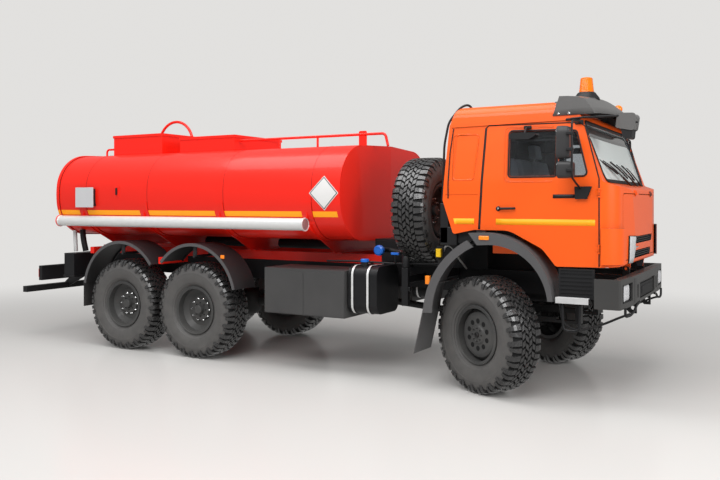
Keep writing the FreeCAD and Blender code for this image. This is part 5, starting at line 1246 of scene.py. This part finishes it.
# ---- Inside the cab --------------------------------------------------------------------------
# Three cloth seats with tall backs and a sleeping bunk behind them stand in for the CAD's
# plain blocks. The dashboard and steering wheel keep their shape.

seat_cloth = finish("seat_cloth", (0.62, 0.66, 0.72), 0.9, mottle=0.3, mottle_scale=120, dimple=0.8,
                    dimple_scale=500)


def pad(name, low, high, lean=0.0, power=7.0):
    """A stuffed block: rounded squares stacked upward, scaled by (1 - |t|^p)^(1/p), t from -1 to 1."""
    low, high = np.array(low, float), np.array(high, float)
    middle, half = (low + high) / 2, (high - low) / 2
    t = np.sin(np.linspace(-1, 1, 21) * np.pi / 2)
    scale = np.maximum((1 - np.abs(t) ** power) ** (1 / power), 0.30)
    path = middle + np.stack([lean * t, 0 * t, half[2] * t], 1)
    rings = np.zeros((len(t), 40, 3))
    rings[:, :, :2] = squared(40, 9.0)[None] * half[:2]
    rings[:, :, :2] -= np.sign(rings[:, :, :2]) * np.minimum(half[:2], 0.05) * (1 - scale)[:, None, None]
    return solid(name, loft(path, rings, -1), seat_cloth, "cab")


for index, (y0, y1) in enumerate(((-0.898, -0.352), (-0.248, 0.198), (0.352, 0.898))):
    cushion = pad("seat_cushion_%d" % index, at(0.062, y0, 1.850), at(0.560, y1, 1.985))
    pad("seat_back_%d" % index, at(-0.035, y0 + 0.03, 1.990), at(0.085, y1 - 0.03, 2.560), -0.052)
    foot = [(0.12, 0.38, y0 + 0.06, y1 - 0.06, 1.802, 1.849)]
    blocky("seat_foot_%d" % index, 1, foot, 0.004, casting_black, "cab")
    if index != 1:
        pad("headrest_%d" % index, at(-0.115, y0 + 0.15, 2.600), at(-0.015, y1 - 0.15, 2.775), -0.012)
        posts = [(-0.062, -0.050, y0 + d, y0 + d + 0.012, 2.540, 2.612) for d in (0.21, 0.325)]
        blocky("headrest_posts_%d" % index, 1, posts, 0.002, bright_metal, "cab")
pad("bunk", at(-0.402, -1.070, 1.830), at(-0.152, 1.070, 2.020))
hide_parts("seats")
blocky("bunk_base", 1, [(-0.400, -0.156, -1.060, 1.060, 1.802, 1.829)], 0.004, casting_black, "cab")


# ---- Fuel tanks, boxes and pipes along the frame -----------------------------------------------
# Bright straps and blue caps on the fuel tanks, the lids of the boxes, and between them
# and the front guards the air fittings, hoses, a yellow fuse box and a marker lamp.

cap_blue = finish("blue_fitting", (0.010, 0.130, 0.560), 0.35, coat=0.4, mottle=0.2)
lamp_yellow = finish("yellow_box", (0.90, 0.56, 0.010), 0.35, coat=0.3)
grey_hose = finish("grey_hose", (0.36, 0.36, 0.35), 0.55)
cap = cored((0.0, 0.049), (0.030, 0.049), (0.036, 0.044))
can = cored((0.0, 0.040), (0.030, 0.044), (0.105, 0.044), (0.130, 0.036))
disc = cored((0.0, 0.060), (0.020, 0.066), (0.050, 0.062), (0.062, 0.045))
for label, side in sides:
    near, far = sorted((side * 0.600, side * 1.150))
    loops = []
    for grow in (0.0072, 0.0035):
        corners = [(near - grow, 0.750 - grow), (far + grow, 0.750 - grow), (far + grow, 1.310 + grow),
                   (near - grow, 1.310 + grow)]
        loops.append(eased([(*corner, 0.110 + grow) for corner in corners], 10))
    for index, x in enumerate((-1.705, -1.500)):
        lines = [(x - 0.013, 0), (x + 0.013, 0), (x + 0.013, 1), (x - 0.013, 1)]
        ring = np.stack([np.insert(loops[k], 0, front_x + place, axis=1) for place, k in lines], 1)
        hoop = ring.reshape(-1, 3), quads(len(ring), 4, True, True)[:, ::-1]
        piece("tank_strap_%s_%d" % (label, index), hoop, bright_sheet, "chassis")
    for name, place, axis, outline, steps, look in (
            ("fuel_cap_", at(-1.600, side * 1.040, 1.3555), upright, cap, 28, cap_blue),
            ("air_filter_", at(-1.103, side * 0.955, 1.306), upright, can, 24, black_plastic),
            ("valve_disc_", at(-1.533, side * 0.780, 1.480), (0, side * 1.0, 0), disc, 30, cap_blue)):
        piece(name + label, turned(place, axis, outline, steps), look, "chassis")
paired_bars(
    ("side_pipe_{}", "chassis", "black_plastic", casting_black, 0.012, 0.06, (-2.152, 1.00, 1.345),
     (-1.980, 1.02, 1.352), (-1.757, 1.00, 1.357), (-1.30, 0.86, 1.335), (-1.000, 0.80, 1.340),
     (-0.70, 0.80, 1.352)),
    ("air_hose_{}", "chassis", "black_plastic", grey_hose, 0.011, 0.07, (-0.640, 0.93, 1.500),
     (-0.600, 0.95, 1.575), (-0.520, 0.97, 1.560), (-0.470, 0.92, 1.440), (-0.455, 0.70, 1.300)),
    ("valve_pipe_{}", "chassis", "black_plastic", casting_black, 0.030, 0.06, (-1.533, 0.784, 1.480),
     (-1.533, 0.600, 1.480), (-1.400, 0.560, 1.450), (-1.050, 0.560, 1.440)),
    ("lever_stem_{}", "chassis", "black_plastic", casting_black, 0.010, 0.03, (-1.28, 0.88, 1.441),
     (-1.28, 0.88, 1.34), (-1.28, 0.60, 1.30)))
paired_blocks(
    ("box_lid_{}", "chassis", "bumper_grey", box_grey, 0.002, (-2.940, -2.368, 1.1995, 1.2045, 0.700, 1.215),
     (-2.360, -1.791, 1.1995, 1.2045, 0.700, 1.215)),
    ("air_post_{}", "chassis", "frame_black", frame_black, 0.006, (-1.145, -1.062, 0.925, 0.985, 0.860, 1.300),
     (-1.165, -1.040, 0.933, 0.977, 1.030, 1.080), (-1.120, -1.085, 0.430, 0.930, 1.120, 1.200)),
    ("fuse_box_{}", "chassis", "lamp_orange", lamp_yellow, 0.006, (-0.700, -0.640, 0.960, 1.010, 1.440, 1.535)),
    ("fuse_box_frame_{}", "chassis", "black_plastic", casting_black, 0.004,
     (-0.715, -0.625, 0.948, 0.962, 1.395, 1.560), (-0.690, -0.650, 0.44, 0.98, 1.20, 1.40)),
    ("marker_lamp_{}", "chassis", "lamp_orange", lens_amber, 0.008,
     (-0.745, -0.690, 1.160, 1.200, 1.150, 1.245)),
    ("marker_bracket_{}", "chassis", "black_plastic", casting_black, 0.003,
     (-0.735, -0.700, 0.44, 1.165, 1.185, 1.205)),
    ("valve_lever_{}", "chassis", "black_plastic", cap_blue, 0.008,
     (-1.330, -1.225, 0.860, 0.900, 1.438, 1.468)))


# ---- Guards -------------------------------------------------------------------------------------
# Orange side lamps on the front arches and the rear guards, and the red brackets that
# carry the guards.

paired_blocks(
    ("arch_lamp_{}", "cab", "lamp_orange", lens_amber, 0.006, (-0.093, 0.019, 1.238, 1.262, 1.658, 1.702)),
    ("arch_lamp_base_{}", "cab", "black_plastic", black_plastic, 0.004,
     (-0.105, 0.031, 1.205, 1.243, 1.648, 1.712)),
    *[("guard_bracket_{}_%d" % -x, "chassis", "red", gloss_red, 0.006,
       (x - 0.040, x + 0.040, 0.62, 1.13, z - 0.050, z + 0.045))
      for x, z in ((-4.775, 1.262), (-6.120, 1.366))],
    ("guard_marker_{}", "chassis", "lamp_orange", lens_amber, 0.004,
     (-3.615, -3.560, 1.232, 1.250, 1.335, 1.380)))


# ---- Tail -----------------------------------------------------------------------------------------
# A cluster of lamps at each end of the beam, a bright drain pipe under the tank's end, and
# the red latch lever that swings out over it.

marker_red = finish("red_lens", (0.60, 0.010, 0.008), 0.15, coat=0.6, mottle=0.3, mottle_scale=50)
lamps = ((1.120, 1.195, marker_red), (1.035, 1.110, lens_amber), (0.930, 1.025, marker_red))
paired_blocks(*[("tail_lamp_{}_%d" % index, "chassis", "lamp_orange", look, 0.008,
                 (-7.222, -7.199, y0, y1, 0.925, 1.055)) for index, (y0, y1, look) in enumerate(lamps)])
paired_bars(
    ("drain_pipe_{}", "chassis", "steel", bright_sheet, 0.030, 0.01, (-6.639, 1.00, 1.640),
     (-6.617, 1.00, 1.325)),
    ("drain_hose_{}", "chassis", "black_plastic", black_plastic, 0.042, 0.08, (-6.520, 0.96, 1.650),
     (-6.500, 0.96, 1.500), (-6.470, 0.94, 1.330)))
bar("latch_lever", 1, [(-6.98, -0.55, 2.640), (-6.85, -0.62, 2.600), (-6.74, -0.70, 2.560),
                       (-6.62, -0.74, 2.560)], 0.014, 0.04, gloss_red, "chassis")
blocky("latch_grip", 1, [(-7.035, -6.955, -0.590, -0.510, 2.622, 2.662)], 0.012, gloss_red, "chassis")


# ---- Under the bumper and behind the cab ---------------------------------------------------------------
# Towing rods, the bent pipes by the step, a casing behind the cab, the hoses that leave
# the roof's rear corner, inner guards and seals, and the lips of the rear guards, lighter
# than the guards as a painted highlight on their edges. Thick black pipes under the
# tank's middle also darken the gap there as painted shade.

paired_bars(
    ("tow_rod_{}", "chassis", "bumper_grey", casting_black, 0.013, 0.05, (1.372, 1.08, 1.010),
     (1.372, 1.08, 0.925), (1.386, 0.90, 0.918), (1.388, 0.71, 0.938), (1.392, 0.61, 0.990),
     (1.396, 0.45, 1.008)),
    ("brake_pipe_{}", "chassis", "black_plastic", casting_black, 0.012, 0.10, (0.700, 1.02, 1.010),
     (0.750, 1.06, 0.800), (0.905, 1.05, 0.745), (1.120, 1.00, 0.812), (1.300, 0.92, 0.900),
     (1.372, 0.85, 0.925)),
    ("roof_hose_{}", "cab", "black_plastic", black_plastic, 0.013, 0.06, (-0.300, 0.86, 3.060),
     (-0.340, 0.90, 3.150), (-0.420, 0.95, 3.120), (-0.545, 1.00, 2.950), (-0.585, 1.03, 2.700),
     (-0.600, 1.05, 2.060)))
paired_blocks(
    ("cab_casing_{}", "cab", "black_plastic", black_plastic, 0.012,
     (-0.600, -0.500, 0.900, 1.120, 1.600, 2.050), (-0.600, -0.400, 0.900, 1.120, 1.580, 1.790),
     (-0.450, -0.100, 0.930, 1.085, 1.600, 1.790)),
    ("inner_guard_{}", "chassis", "black_plastic", casting_black, 0.004,
     (-0.790, -0.200, 0.690, 0.705, 1.300, 1.640)),
    ("arch_seal_{}", "cab", "black_plastic", casting_black, 0.003, (-0.150, 0.250, 1.040, 1.055, 1.690, 1.790)),
    ("floor_side_{}", "cab", "orange", gloss_orange, 0.004, (-0.030, 0.330, 0.985, 1.000, 1.505, 1.640)))
blocky("control_cabinet", 1, [(-1.800, -1.270, -0.420, 0.420, 1.286, 1.600),
                              (-1.780, -1.300, -0.428, -0.419, 1.320, 1.580)], 0.008, frame_black, "chassis")
# The rear guards' lips are real lips in the lighter guard grey; their lightness is a painted highlight on the
# edges.
lip_edge = [(0.7395, 1.2506), (0.7395, 1.2575), (0.6990, 1.2575), (0.6990, 1.2506)]
for label, side in sides:
    for index, (x, start, end) in enumerate(((-5.420, 36.4, 170.6), (-4.100, 13.4, 139.6))):
        turn = np.radians(np.linspace(start, end, 72))
        path = np.broadcast_to([front_x + x, 0, wheel_z + 0.150], (len(turn), 3))
        rings = [np.stack([r * np.cos(turn), side * y + 0 * turn, r * np.sin(turn)], 1) for r, y in lip_edge]
        lip = loft(path, np.stack(rings, 1), -side)
        solid("guard_lip_%s_%d" % (label, index), lip, guard_plastic, "chassis")
# Two thick black pipes along the middle under the tank stand for the pipes there and darken the gap as painted
# shade.
for index, (low, high) in enumerate(((-4.900, -3.800), (-3.560, -2.440))):
    bar("drain_main_%d" % index, 1, [(low, 0, 1.485), (high, 0, 1.485)], 0.066, 0.02, casting_black, "chassis",
        24)


# ---- Faces ----------------------------------------------------------------------
# Every added mesh gets its faces turned outward.

bpy.data.objects.remove(cab_skin)
for made in bpy.context.scene.objects:
    if made.type == "MESH" and made.name not in frame["nodes"] and made.name != "studio_floor":
        work = bmesh.new()
        work.from_mesh(made.data)
        bmesh.ops.recalc_face_normals(work, faces=work.faces)
        work.to_mesh(made.data)
        work.free()
